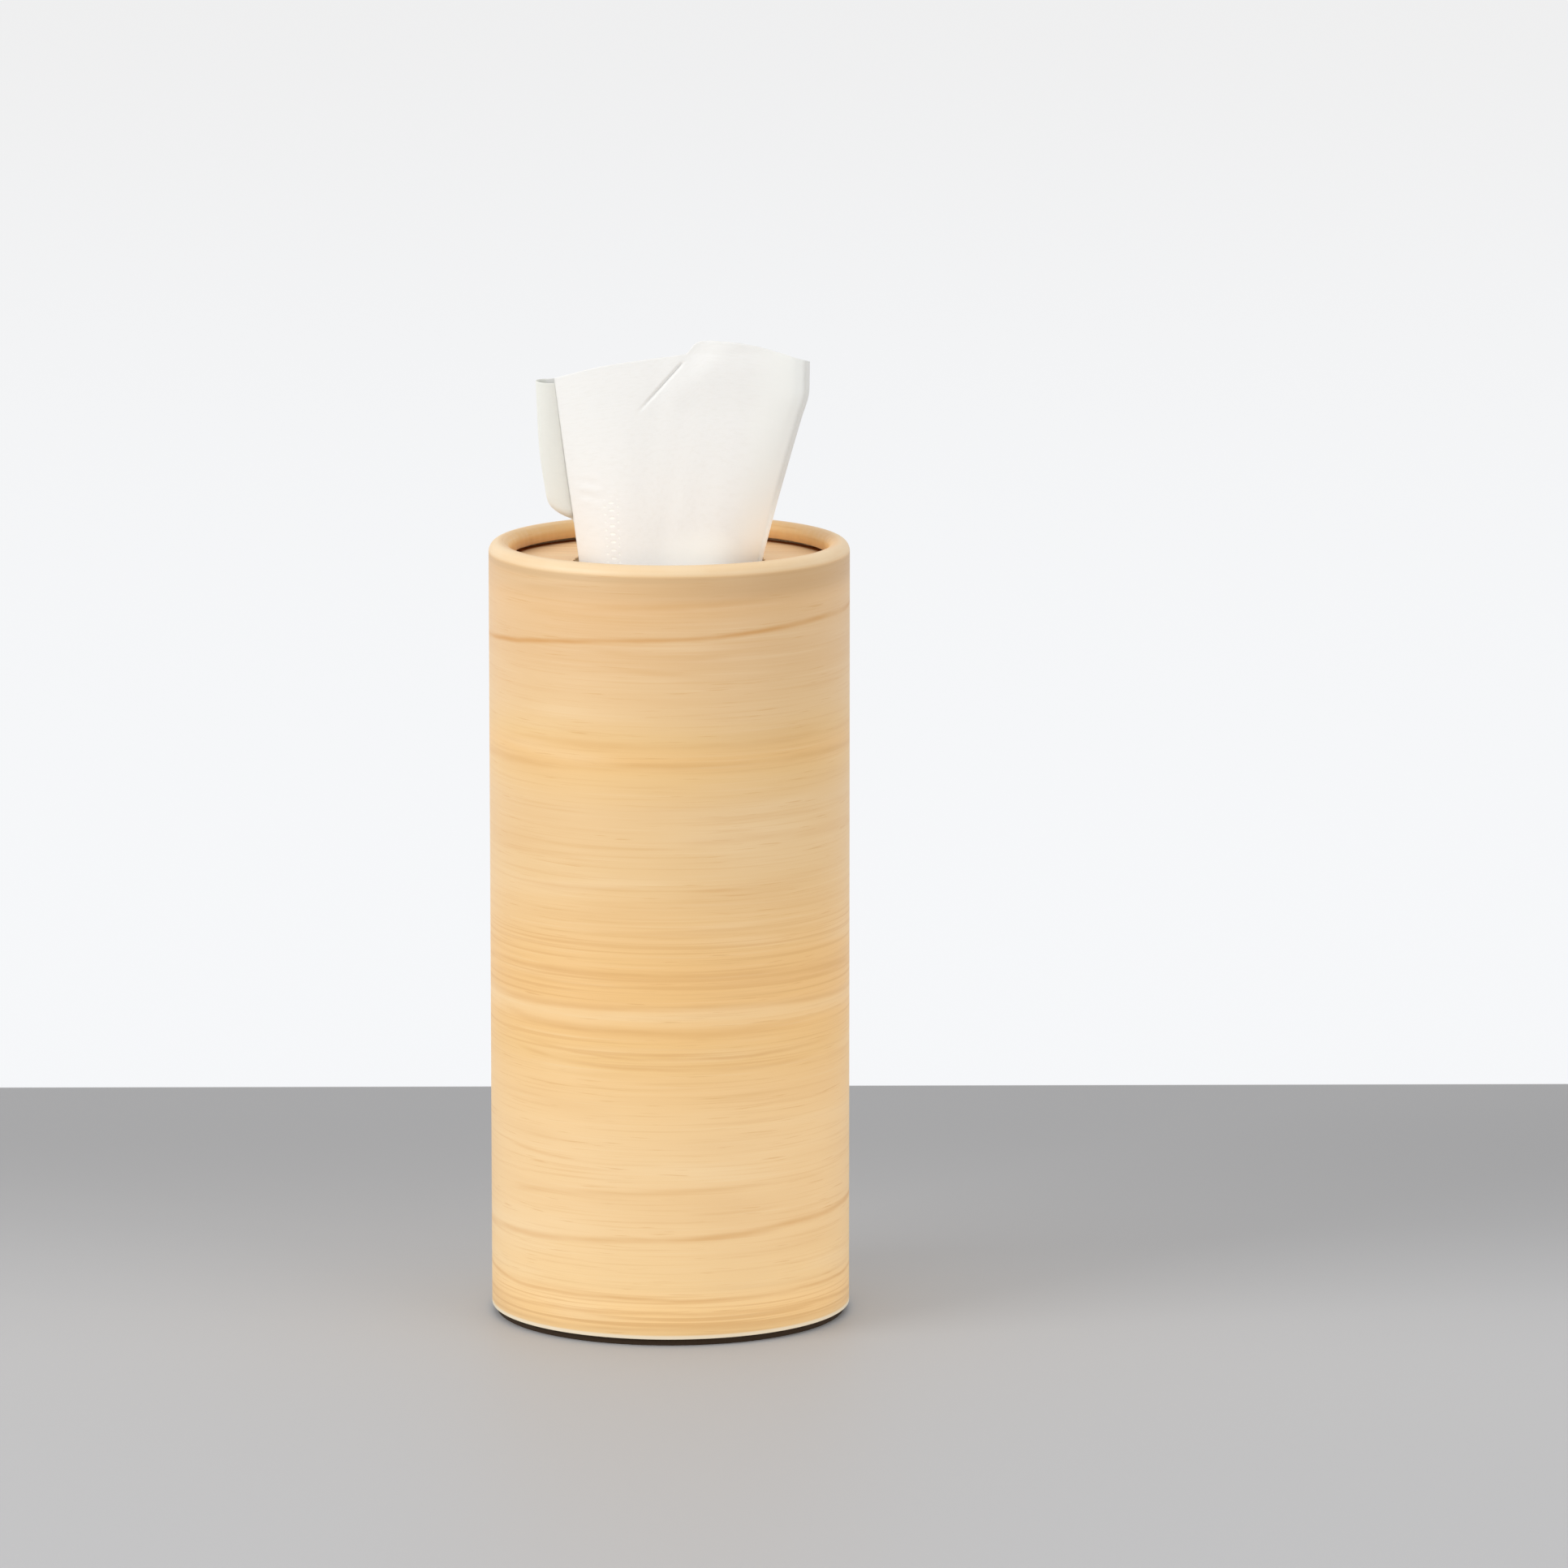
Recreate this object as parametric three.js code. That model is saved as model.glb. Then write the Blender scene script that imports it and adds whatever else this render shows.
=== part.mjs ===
// Standing cylindrical tissue box: a paper tube with a curled rim, a recessed top disc whose round
// flap is pushed in, a pressed bottom cup, and an interfolded pack with one tissue standing out.
// Millimetres, +Z up, origin at the centre of the foot, front of the box towards -Y.
import * as THREE from 'three';

// Tube
const TUBE_DIAMETER = 75;
const TUBE_HEIGHT = 163;
const WRAP_THICKNESS = 0.3;
const CORE_WALL = 1.2;
const SLEEVE_WALL = 0.8;
const CURL_RADIUS = 2.25;
const FOOT_REVEAL = 1.5;
const FOOT_INSET = 0.7;
const ROUND_STEPS = 48;
const CURL_STEPS = 8;

// Ends
const RIM_DEPTH = 4.4;
const DISC_BOARD = 1.2;
const DISC_FACING = 0.25;
const MOUTH_DIAMETER = 40;
const HINGE_OFFSET = 13.5;
const CUP_BOARD = 1.0;
const CUP_RECESS = 4;
const CUP_LIFT = 0.3;
const CUP_CORNER = 0.8;

// Fits
const GLUE_GAP = 0.05;
const SEAT_GAP = 0.1;
const CUT_GAP = 0.3;

// Interfolded pack
const PACK_SHEETS = 14;
const SHEET_WIDTH = 135;
const FOLDED_HEIGHT = 100;
const PACK_CLEARANCE = 0.4;
const LEAF_THICKNESS = 0.27;
const LEAF_GAP = 0.15;
const PACK_FLOOR_GAP = 0.3;
const PACK_STEP_ANGLE = Math.PI / 12;

// Standing tissue
const TISSUE_THICKNESS = 0.5;
const MOUTH_CLEARANCE = 1.2;
const TAIL_FLOOR_GAP = 2.6;
const TAIL_CLEARANCE = 4.85;
const FAN_HEIGHT = 39;
const LOBE_HEIGHT = 7.5;
const FAN_LEFT = 23.7;
const FAN_RIGHT = 28.8;
const CURL_LEFT = 27.6;
const MOUTH_FRONT = 6.5;
const MOUTH_BACK = 4;
const FAN_FRONT = 4;
const FAN_BACK = 2;
const EDGE_SPREAD = 2.2;
const LOBE_FORWARD = 3;
const ROLL_RADIUS = 1.8;
const ROLL_GATHERED = 0.9;

// Shares that shape the standing tissue, with no length of their own
const LEFT_FLARE = 0.85;
const RIGHT_FLARE = 0.62;
const CURL_FLARE = 0.6;
const LOBE_EDGE = 0.07;
const LOBE_SLANT = 1.9;
const LOBE_DEPTH = 0.35;
const LOBE_SOFTNESS = 0.2;
const LOBE_START = 0.17;
const LOBE_RISE = 0.09;
const LOBE_END = 0.52;
const LOBE_FALL = 0.17;
const EDGE_CALM = 0.5;
const ROLL_END_ANGLE = 1.9 * Math.PI;
const FRONT_STEPS = 14;
const BACK_STEPS = 11;
const ROLL_STEPS = 7;
const TAIL_ROWS = 6;
const FAN_ROWS = 9;

// Following tissue
const NEXT_MARGIN = 5.2;
const NEXT_DEPTH = 1.7;
const NEXT_CENTRE = -1.4;
const NEXT_PLEATS = 5;
const NEXT_DROP = 35;

// Worked-out places
const tubeRadius = TUBE_DIAMETER / 2;
const coreOuter = tubeRadius - WRAP_THICKNESS - GLUE_GAP;
const coreInner = coreOuter - CORE_WALL;
const sleeveOuter = coreInner - SEAT_GAP;
const sleeveInner = sleeveOuter - SLEEVE_WALL;
const discTop = TUBE_HEIGHT - RIM_DEPTH;
const boardTop = discTop - DISC_FACING - GLUE_GAP;
const boardUnderside = boardTop - DISC_BOARD;
const mouthRadius = MOUTH_DIAMETER / 2;
const cupTop = CUP_RECESS + CUP_BOARD;
const packFloor = cupTop + PACK_FLOOR_GAP;
const leafPitch = LEAF_THICKNESS + LEAF_GAP;
const packCore = sleeveInner - PACK_CLEARANCE - (2 * PACK_SHEETS + 2) * leafPitch;
const mouthHalf = mouthRadius - MOUTH_CLEARANCE;
const tailHalf = packCore - TAIL_CLEARANCE;

const PRINTED_PAPER = { color: 0xe6c08c, roughness: 0.6, metalness: 0 };
const GREY_BOARD = { color: 0xb9a184, roughness: 0.85, metalness: 0 };
const WHITE_TISSUE = { color: 0xf5f2ea, roughness: 0.9, metalness: 0 };

// A named piece with a material of its own.
function piece(name, geometry, finish) {
  const mesh = new THREE.Mesh(geometry, new THREE.MeshStandardMaterial(finish));
  mesh.name = name;
  return mesh;
}

// Points of an arc in a profile, angles in radians.
function arc(x, z, radius, from, to, steps) {
  const points = [];
  for (let i = 0; i <= steps; i += 1) {
    const angle = from + ((to - from) * i) / steps;
    points.push(new THREE.Vector2(x + radius * Math.cos(angle), z + radius * Math.sin(angle)));
  }
  return points;
}

// A profile of [radius, height] points turned round the vertical axis.
function turned(profile) {
  const geometry = new THREE.LatheGeometry(profile, ROUND_STEPS);
  geometry.rotateX(Math.PI / 2);
  return geometry;
}

// One ply of the wall: up the outside, over the curl and down to the top disc, then back inside.
function curledPly(depth, thickness, footPoints) {
  const centreX = tubeRadius - CURL_RADIUS;
  const centreZ = TUBE_HEIGHT - CURL_RADIUS;
  const outer = CURL_RADIUS - depth;
  const inner = outer - thickness;
  const legEnd = discTop + SEAT_GAP;
  const profile = [
    ...footPoints,
    ...arc(centreX, centreZ, outer, 0, Math.PI, CURL_STEPS),
    new THREE.Vector2(centreX - outer, legEnd),
    new THREE.Vector2(centreX - inner, legEnd),
    ...arc(centreX, centreZ, inner, Math.PI, 0, CURL_STEPS),
  ];
  profile.push(profile[0].clone());
  return turned(profile);
}

function printedWrap() {
  const foot = [
    new THREE.Vector2(tubeRadius - WRAP_THICKNESS, FOOT_REVEAL),
    new THREE.Vector2(tubeRadius, FOOT_REVEAL),
  ];
  return piece('printed_wrap', curledPly(0, WRAP_THICKNESS, foot), PRINTED_PAPER);
}

// The board stands on its inner plies; the outer ones end with the wrap, just above the foot.
function tubeCore() {
  const foot = [
    new THREE.Vector2(coreInner, 0),
    new THREE.Vector2(coreOuter - FOOT_INSET, 0),
    new THREE.Vector2(coreOuter - FOOT_INSET, FOOT_REVEAL),
    new THREE.Vector2(coreOuter, FOOT_REVEAL),
  ];
  return piece('tube_core', curledPly(WRAP_THICKNESS + GLUE_GAP, CORE_WALL, foot), GREY_BOARD);
}

function innerSleeve() {
  const low = cupTop + SEAT_GAP;
  const high = boardUnderside - SEAT_GAP;
  const profile = [
    new THREE.Vector2(sleeveInner, low),
    new THREE.Vector2(sleeveOuter, low),
    new THREE.Vector2(sleeveOuter, high),
    new THREE.Vector2(sleeveInner, high),
    new THREE.Vector2(sleeveInner, low),
  ];
  return piece('inner_sleeve', turned(profile), GREY_BOARD);
}

function bottomCup() {
  const skirtOuter = coreInner - SEAT_GAP;
  const skirtInner = skirtOuter - CUP_BOARD;
  const skirtFoot = CUP_LIFT;
  const corner = arc(skirtOuter - CUP_CORNER, cupTop - CUP_CORNER, CUP_CORNER, 0, Math.PI / 2, 3);
  const profile = [
    new THREE.Vector2(0, CUP_RECESS),
    new THREE.Vector2(skirtInner, CUP_RECESS),
    new THREE.Vector2(skirtInner, skirtFoot),
    new THREE.Vector2(skirtOuter, skirtFoot),
    ...corner,
    new THREE.Vector2(0, cupTop),
  ];
  return piece('bottom_cup', turned(profile), GREY_BOARD);
}

// The mouth's outline, or the flap's: a circle cut off by the straight crease at the back.
function creasedCircle(target, radius, crease) {
  const angle = Math.asin(crease / radius);
  target.absarc(0, 0, radius, Math.PI - angle, 2 * Math.PI + angle, false);
  return target;
}

function plate(shape, thickness, low) {
  const options = { depth: thickness, bevelEnabled: false, curveSegments: ROUND_STEPS };
  const geometry = new THREE.ExtrudeGeometry(shape, options);
  geometry.translate(0, 0, low);
  return geometry;
}

function topDiscLayer(name, thickness, low, finish) {
  const shape = new THREE.Shape();
  shape.absarc(0, 0, coreInner - SEAT_GAP, 0, 2 * Math.PI, false);
  shape.holes.push(creasedCircle(new THREE.Path(), mouthRadius, HINGE_OFFSET));
  return piece(name, plate(shape, thickness, low), finish);
}

function topDisc() {
  return [
    topDiscLayer('top_disc_board', DISC_BOARD, boardUnderside, GREY_BOARD),
    topDiscLayer('top_disc_facing', DISC_FACING, boardTop + GLUE_GAP, PRINTED_PAPER),
  ];
}

// The flap hangs from its crease, folded down a quarter turn behind the standing tissue.
function openingFlap() {
  const shape = creasedCircle(new THREE.Shape(), mouthRadius - CUT_GAP, HINGE_OFFSET - CUT_GAP);
  const board = plate(shape, DISC_BOARD, 0);
  const facing = plate(shape, DISC_FACING, DISC_BOARD + GLUE_GAP);
  board.translate(0, -HINGE_OFFSET, 0);
  facing.translate(0, -HINGE_OFFSET, 0);
  const flap = new THREE.Group();
  flap.add(piece('flap_board', board, GREY_BOARD));
  flap.add(piece('flap_facing', facing, PRINTED_PAPER));
  flap.position.set(0, HINGE_OFFSET, boardUnderside);
  flap.rotation.x = Math.PI / 2;
  return flap;
}

// Closed geometry from a list of vertices and quads of vertex numbers.
function closedGeometry(vertices, quads, triangles = []) {
  const geometry = new THREE.BufferGeometry();
  const index = quads.flatMap(([a, b, c, d]) => [a, b, c, a, c, d]);
  const positions = vertices.flatMap((vertex) => vertex.toArray());
  geometry.setAttribute('position', new THREE.Float32BufferAttribute(positions, 3));
  geometry.setIndex([...index, ...triangles.flat()]);
  return geometry;
}

// Radius on a ring of flat facets, so that rings of any radius nest without touching.
function facetRadius(radius, angle) {
  const along = ((angle % PACK_STEP_ANGLE) + PACK_STEP_ANGLE) % PACK_STEP_ANGLE;
  return (radius * Math.cos(PACK_STEP_ANGLE / 2)) / Math.cos(along - PACK_STEP_ANGLE / 2);
}

// Angles from -half to +half with a stop on each facet's edge.
function facetAngles(half) {
  const angles = [-half];
  const last = Math.ceil(half / PACK_STEP_ANGLE) - 1;
  for (let i = -last; i <= last; i += 1) {
    angles.push(i * PACK_STEP_ANGLE);
  }
  angles.push(half);
  return angles;
}

// A closed profile of [radius, height] points swept part of the way round, centred on the front.
function sweptArc(profile, half) {
  const vertices = [];
  const quads = [];
  const count = profile.length;
  const angles = facetAngles(half);
  angles.forEach((angle, k) => {
    profile.forEach((point, i) => {
      const radius = facetRadius(point.x, angle);
      vertices.push(new THREE.Vector3(radius * Math.sin(angle), -radius * Math.cos(angle), point.y));
      if (k > 0) {
        const here = k * count;
        const before = here - count;
        const next = (i + 1) % count;
        quads.push([before + i, here + i, here + next, before + next]);
      }
    });
  });
  const cap = THREE.ShapeUtils.triangulateShape(profile, []);
  const end = (angles.length - 1) * count;
  const caps = cap.flatMap(([a, b, c]) => [[a, b, c], [end + a, end + c, end + b]]);
  return closedGeometry(vertices, quads, caps);
}

// A sheet folded in half: two upright leaves joined by a fold at the bottom, or at the top.
function foldedProfile(innerRadius, outerRadius, foldOnTop) {
  const leaf = LEAF_THICKNESS;
  const low = packFloor;
  const high = packFloor + FOLDED_HEIGHT;
  const clear = leaf + LEAF_GAP;
  const z = (height) => (foldOnTop ? low + high - height : height);
  const outline = [
    [innerRadius, low],
    [outerRadius + leaf, low],
    [outerRadius + leaf, high - clear],
    [outerRadius, high - clear],
    [outerRadius, low + leaf],
    [innerRadius + leaf, low + leaf],
    [innerRadius + leaf, high - clear],
    [innerRadius, high - clear],
  ].map(([x, height]) => new THREE.Vector2(x, z(height)));
  return foldOnTop ? outline.reverse() : outline;
}

// Each sheet's first leaf lies inside the sheet before it, and its second inside the sheet after it.
function tissuePack() {
  const sheets = [];
  for (let k = 0; k < PACK_SHEETS; k += 1) {
    const first = packCore + 2 * k * leafPitch;
    const second = first + 3 * leafPitch;
    const half = SHEET_WIDTH / (first + second);
    const profile = foldedProfile(first, second, k % 2 === 1);
    const name = `tissue_sheet_${String(k + 1).padStart(2, '0')}`;
    sheets.push(piece(name, sweptArc(profile, half), WHITE_TISSUE));
  }
  return sheets;
}

// A sheet given as rows of points, thickened to both sides and closed round its edges.
function thickSheet(rows, thickness) {
  const height = rows.length;
  const width = rows[0].length;
  const at = (r, c) => rows[Math.min(Math.max(r, 0), height - 1)][Math.min(Math.max(c, 0), width - 1)];
  const sides = [[], []];
  for (let r = 0; r < height; r += 1) {
    for (let c = 0; c < width; c += 1) {
      const along = at(r, c + 1).clone().sub(at(r, c - 1));
      const up = at(r + 1, c).clone().sub(at(r - 1, c));
      const normal = along.cross(up).normalize().multiplyScalar(thickness / 2);
      sides[0].push(at(r, c).clone().add(normal));
      sides[1].push(at(r, c).clone().sub(normal));
    }
  }
  const quads = [];
  const back = height * width;
  const id = (r, c) => r * width + c;
  for (let r = 0; r + 1 < height; r += 1) {
    for (let c = 0; c + 1 < width; c += 1) {
      const [a, b, d, e] = [id(r, c), id(r, c + 1), id(r + 1, c + 1), id(r + 1, c)];
      quads.push([a, b, d, e], [back + a, back + e, back + d, back + b]);
    }
  }
  const edge = (a, b) => quads.push([a, back + a, back + b, b]);
  for (let c = 0; c + 1 < width; c += 1) {
    edge(id(0, c), id(0, c + 1));
    edge(id(height - 1, c + 1), id(height - 1, c));
  }
  for (let r = 0; r + 1 < height; r += 1) {
    edge(id(r + 1, 0), id(r, 0));
    edge(id(r, width - 1), id(r + 1, width - 1));
  }
  return closedGeometry([...sides[0], ...sides[1]], quads);
}

const mix = THREE.MathUtils.lerp;
const smooth = (value) => THREE.MathUtils.smoothstep(value, 0, 1);

// Section of the standing tissue. Spread is 0 in the mouth and below it, and 1 at the fan's top.
// The path runs along the front panel to the right, round the fold, and back to the curled left edge.
function tissueSection(spread, gathered) {
  const left = mix(gathered, FAN_LEFT, spread ** LEFT_FLARE);
  const right = mix(gathered, FAN_RIGHT, spread ** RIGHT_FLARE);
  const curlLeft = mix(gathered, CURL_LEFT, spread ** CURL_FLARE);
  const front = mix(MOUTH_FRONT, FAN_FRONT, spread);
  const back = mix(MOUTH_BACK, FAN_BACK, spread);
  const points = [];
  for (let i = 0; i <= FRONT_STEPS; i += 1) {
    const across = (2 * i) / FRONT_STEPS - 1;
    const slant = across - LOBE_EDGE + LOBE_SLANT * (1 - spread);
    const height = smooth((spread - 1 + LOBE_DEPTH) / LOBE_DEPTH);
    const width = smooth(slant / LOBE_SOFTNESS + 0.5) * smooth((1 - across) / EDGE_CALM);
    const lobe = LOBE_FORWARD * height * width;
    const x = mix(-left, right, i / FRONT_STEPS);
    points.push(new THREE.Vector2(x, -EDGE_SPREAD - front * (1 - across * across) - lobe));
  }
  const roll = mix(ROLL_GATHERED, ROLL_RADIUS, spread);
  const rollX = -curlLeft + roll;
  const backEdge = EDGE_SPREAD - 1;
  for (let i = 0; i < BACK_STEPS; i += 1) {
    const across = 1 - (2 * i) / BACK_STEPS;
    const x = mix(rollX, right, (across + 1) / 2);
    points.push(new THREE.Vector2(x, backEdge + back * (1 - across * across)));
  }
  points.push(...arc(rollX, backEdge - roll, roll, Math.PI / 2, ROLL_END_ANGLE, ROLL_STEPS));
  return points;
}

// Height of the fan's top edge along the same path: low on the left, with a lobe on the right.
function fanTop(index, count) {
  const along = index / (count - 1);
  const lobe = smooth((along - LOBE_START) / LOBE_RISE) * smooth((LOBE_END - along) / LOBE_FALL);
  return FAN_HEIGHT + LOBE_HEIGHT * lobe;
}

function standingTissue() {
  const tailFoot = cupTop + TAIL_FLOOR_GAP;
  const rows = [];
  for (let r = 0; r < TAIL_ROWS; r += 1) {
    const share = r / TAIL_ROWS;
    const section = tissueSection(0, mix(tailHalf, mouthHalf, share));
    rows.push(section.map((p) => new THREE.Vector3(p.x, p.y, mix(tailFoot, boardUnderside, share))));
  }
  const mouth = tissueSection(0, mouthHalf);
  rows.push(mouth.map((p) => new THREE.Vector3(p.x, p.y, boardUnderside)));
  for (let r = 0; r <= FAN_ROWS; r += 1) {
    const spread = r / FAN_ROWS;
    const section = tissueSection(spread, mouthHalf);
    rows.push(section.map((p, i) => {
      const z = discTop + spread * fanTop(i, section.length);
      return new THREE.Vector3(p.x, p.y, z);
    }));
  }
  return piece('popup_tissue', thickSheet(rows, TISSUE_THICKNESS), WHITE_TISSUE);
}

// The tissue that follows stands pleated inside the first one's tail, with its tip below the flap.
function followingTissue() {
  const foot = cupTop + TAIL_FLOOR_GAP;
  const tip = boardUnderside - NEXT_DROP;
  const steps = NEXT_PLEATS * 4;
  const half = tailHalf - NEXT_MARGIN;
  const rows = [foot, mix(foot, tip, 0.5), tip].map((z) => {
    const row = [];
    for (let i = 0; i <= steps; i += 1) {
      const x = mix(-half, half, i / steps);
      const y = NEXT_CENTRE + NEXT_DEPTH * Math.sin((Math.PI * NEXT_PLEATS * i) / steps);
      row.push(new THREE.Vector3(x, y, z));
    }
    return row;
  });
  return piece('next_tissue', thickSheet(rows, TISSUE_THICKNESS), WHITE_TISSUE);
}

const tissueBox = new THREE.Group();
tissueBox.add(printedWrap(), tubeCore(), innerSleeve(), bottomCup());
tissueBox.add(...topDisc());
tissueBox.add(openingFlap());
tissueBox.add(...tissuePack());
tissueBox.add(standingTissue(), followingTissue());

export default tissueBox;
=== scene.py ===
"""Looks of a standing cylindrical tissue box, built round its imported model.

The paper tube, its two ends, the pushed-in flap and every tissue are shaped here in
millimetres, turned into metres as each mesh is made, and ride on the model's bodies.
The front of the box looks towards -Y, and the wrap's lap seam is at the back.
"""

from __future__ import annotations

import logging
import math
from collections.abc import Callable, Iterable, Sequence
from dataclasses import dataclass
from enum import Enum

import bmesh
import bpy
from mathutils import Matrix, Vector

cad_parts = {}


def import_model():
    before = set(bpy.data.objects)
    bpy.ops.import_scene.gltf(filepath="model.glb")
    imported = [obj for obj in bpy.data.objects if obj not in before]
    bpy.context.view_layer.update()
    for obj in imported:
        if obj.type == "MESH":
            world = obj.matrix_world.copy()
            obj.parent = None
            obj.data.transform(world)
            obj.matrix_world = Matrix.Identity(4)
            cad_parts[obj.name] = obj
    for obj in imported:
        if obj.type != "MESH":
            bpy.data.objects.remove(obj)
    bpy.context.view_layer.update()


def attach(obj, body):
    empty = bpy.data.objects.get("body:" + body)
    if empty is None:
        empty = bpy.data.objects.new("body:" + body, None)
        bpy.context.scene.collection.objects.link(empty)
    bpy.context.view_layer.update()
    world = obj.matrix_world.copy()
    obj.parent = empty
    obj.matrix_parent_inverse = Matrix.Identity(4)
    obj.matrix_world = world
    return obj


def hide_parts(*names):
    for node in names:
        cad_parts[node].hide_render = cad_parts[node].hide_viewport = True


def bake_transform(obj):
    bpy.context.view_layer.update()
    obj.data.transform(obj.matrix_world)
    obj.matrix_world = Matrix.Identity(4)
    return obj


LOG = logging.getLogger("tissue_box")
MM = 0.001
FULL_TURN = 2.0 * math.pi
PRINT_MAP = "print"
SHEET_FLAT = (135.0, 200.0)
SHEET_SHARP = 80.0

Knots = Sequence[tuple[float, float]]
Point = tuple[float, float, float]
Colour = tuple[float, float, float]
Span = tuple[float, float]
Profile = list[tuple[float, float]]
Socket = bpy.types.NodeSocket


class Body(Enum):
    """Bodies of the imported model."""

    TUBE = "tube"
    FLAP = "flap"
    STANDING = "standing_sheet"
    FOLLOWING = "following_sheet"


class Slot(Enum):
    """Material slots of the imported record."""

    PRINT = "printed_paper"
    BOARD = "grey_board"
    TISSUE = "white_tissue"


class FoldAt(Enum):
    """Where a sheet of the pack has its fold."""

    BOTTOM = 0
    TOP = 1


def mix(a: float, b: float, share: float) -> float:
    """Straight line from a to b."""
    return a + (b - a) * share


def smooth(share: float) -> float:
    """Soft step from 0 to 1 over the range 0 to 1."""
    share = min(max(share, 0.0), 1.0)
    return share * share * (3.0 - 2.0 * share)


def follow(knots: Knots, x: float) -> float:
    """Reads a soft curve that runs through knots, level beyond its ends.

    Args:
        knots: Points (x, value), by rising x.
        x: Where to read the curve.

    Returns:
        The curve's value at x.
    """
    if x <= knots[0][0]:
        return knots[0][1]
    if x >= knots[-1][0]:
        return knots[-1][1]
    i = max(j for j in range(len(knots) - 1) if knots[j][0] <= x)
    (x0, y0), (x1, y1) = knots[i], knots[i + 1]
    before, after = knots[max(i - 1, 0)], knots[min(i + 2, len(knots) - 1)]
    slope0 = (y1 - before[1]) / (x1 - before[0])
    slope1 = (after[1] - y0) / (after[0] - x0)
    span = x1 - x0
    t = (x - x0) / span
    u = 1.0 - t
    bend = t * u * (slope0 * u - slope1 * t) * span
    return y0 * (1 + 2 * t) * u * u + y1 * (3 - 2 * t) * t * t + bend


def linear(red: int, green: int, blue: int) -> Colour:
    """Turns a display colour into linear light.

    Args:
        red: Its red, 0 to 255.
        green: Its green, 0 to 255.
        blue: Its blue, 0 to 255.

    Returns:
        The colour in linear light, 0 to 1.
    """

    def one(value: int) -> float:
        """One channel in linear light."""
        v = value / 255.0
        return v / 12.92 if v <= 0.04045 else ((v + 0.055) / 1.055) ** 2.4

    return one(red), one(green), one(blue)


def around(x: float, y: float) -> float:
    """Angle round the tube, 0 at the front and rising to the right."""
    return math.atan2(x, -y)


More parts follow.
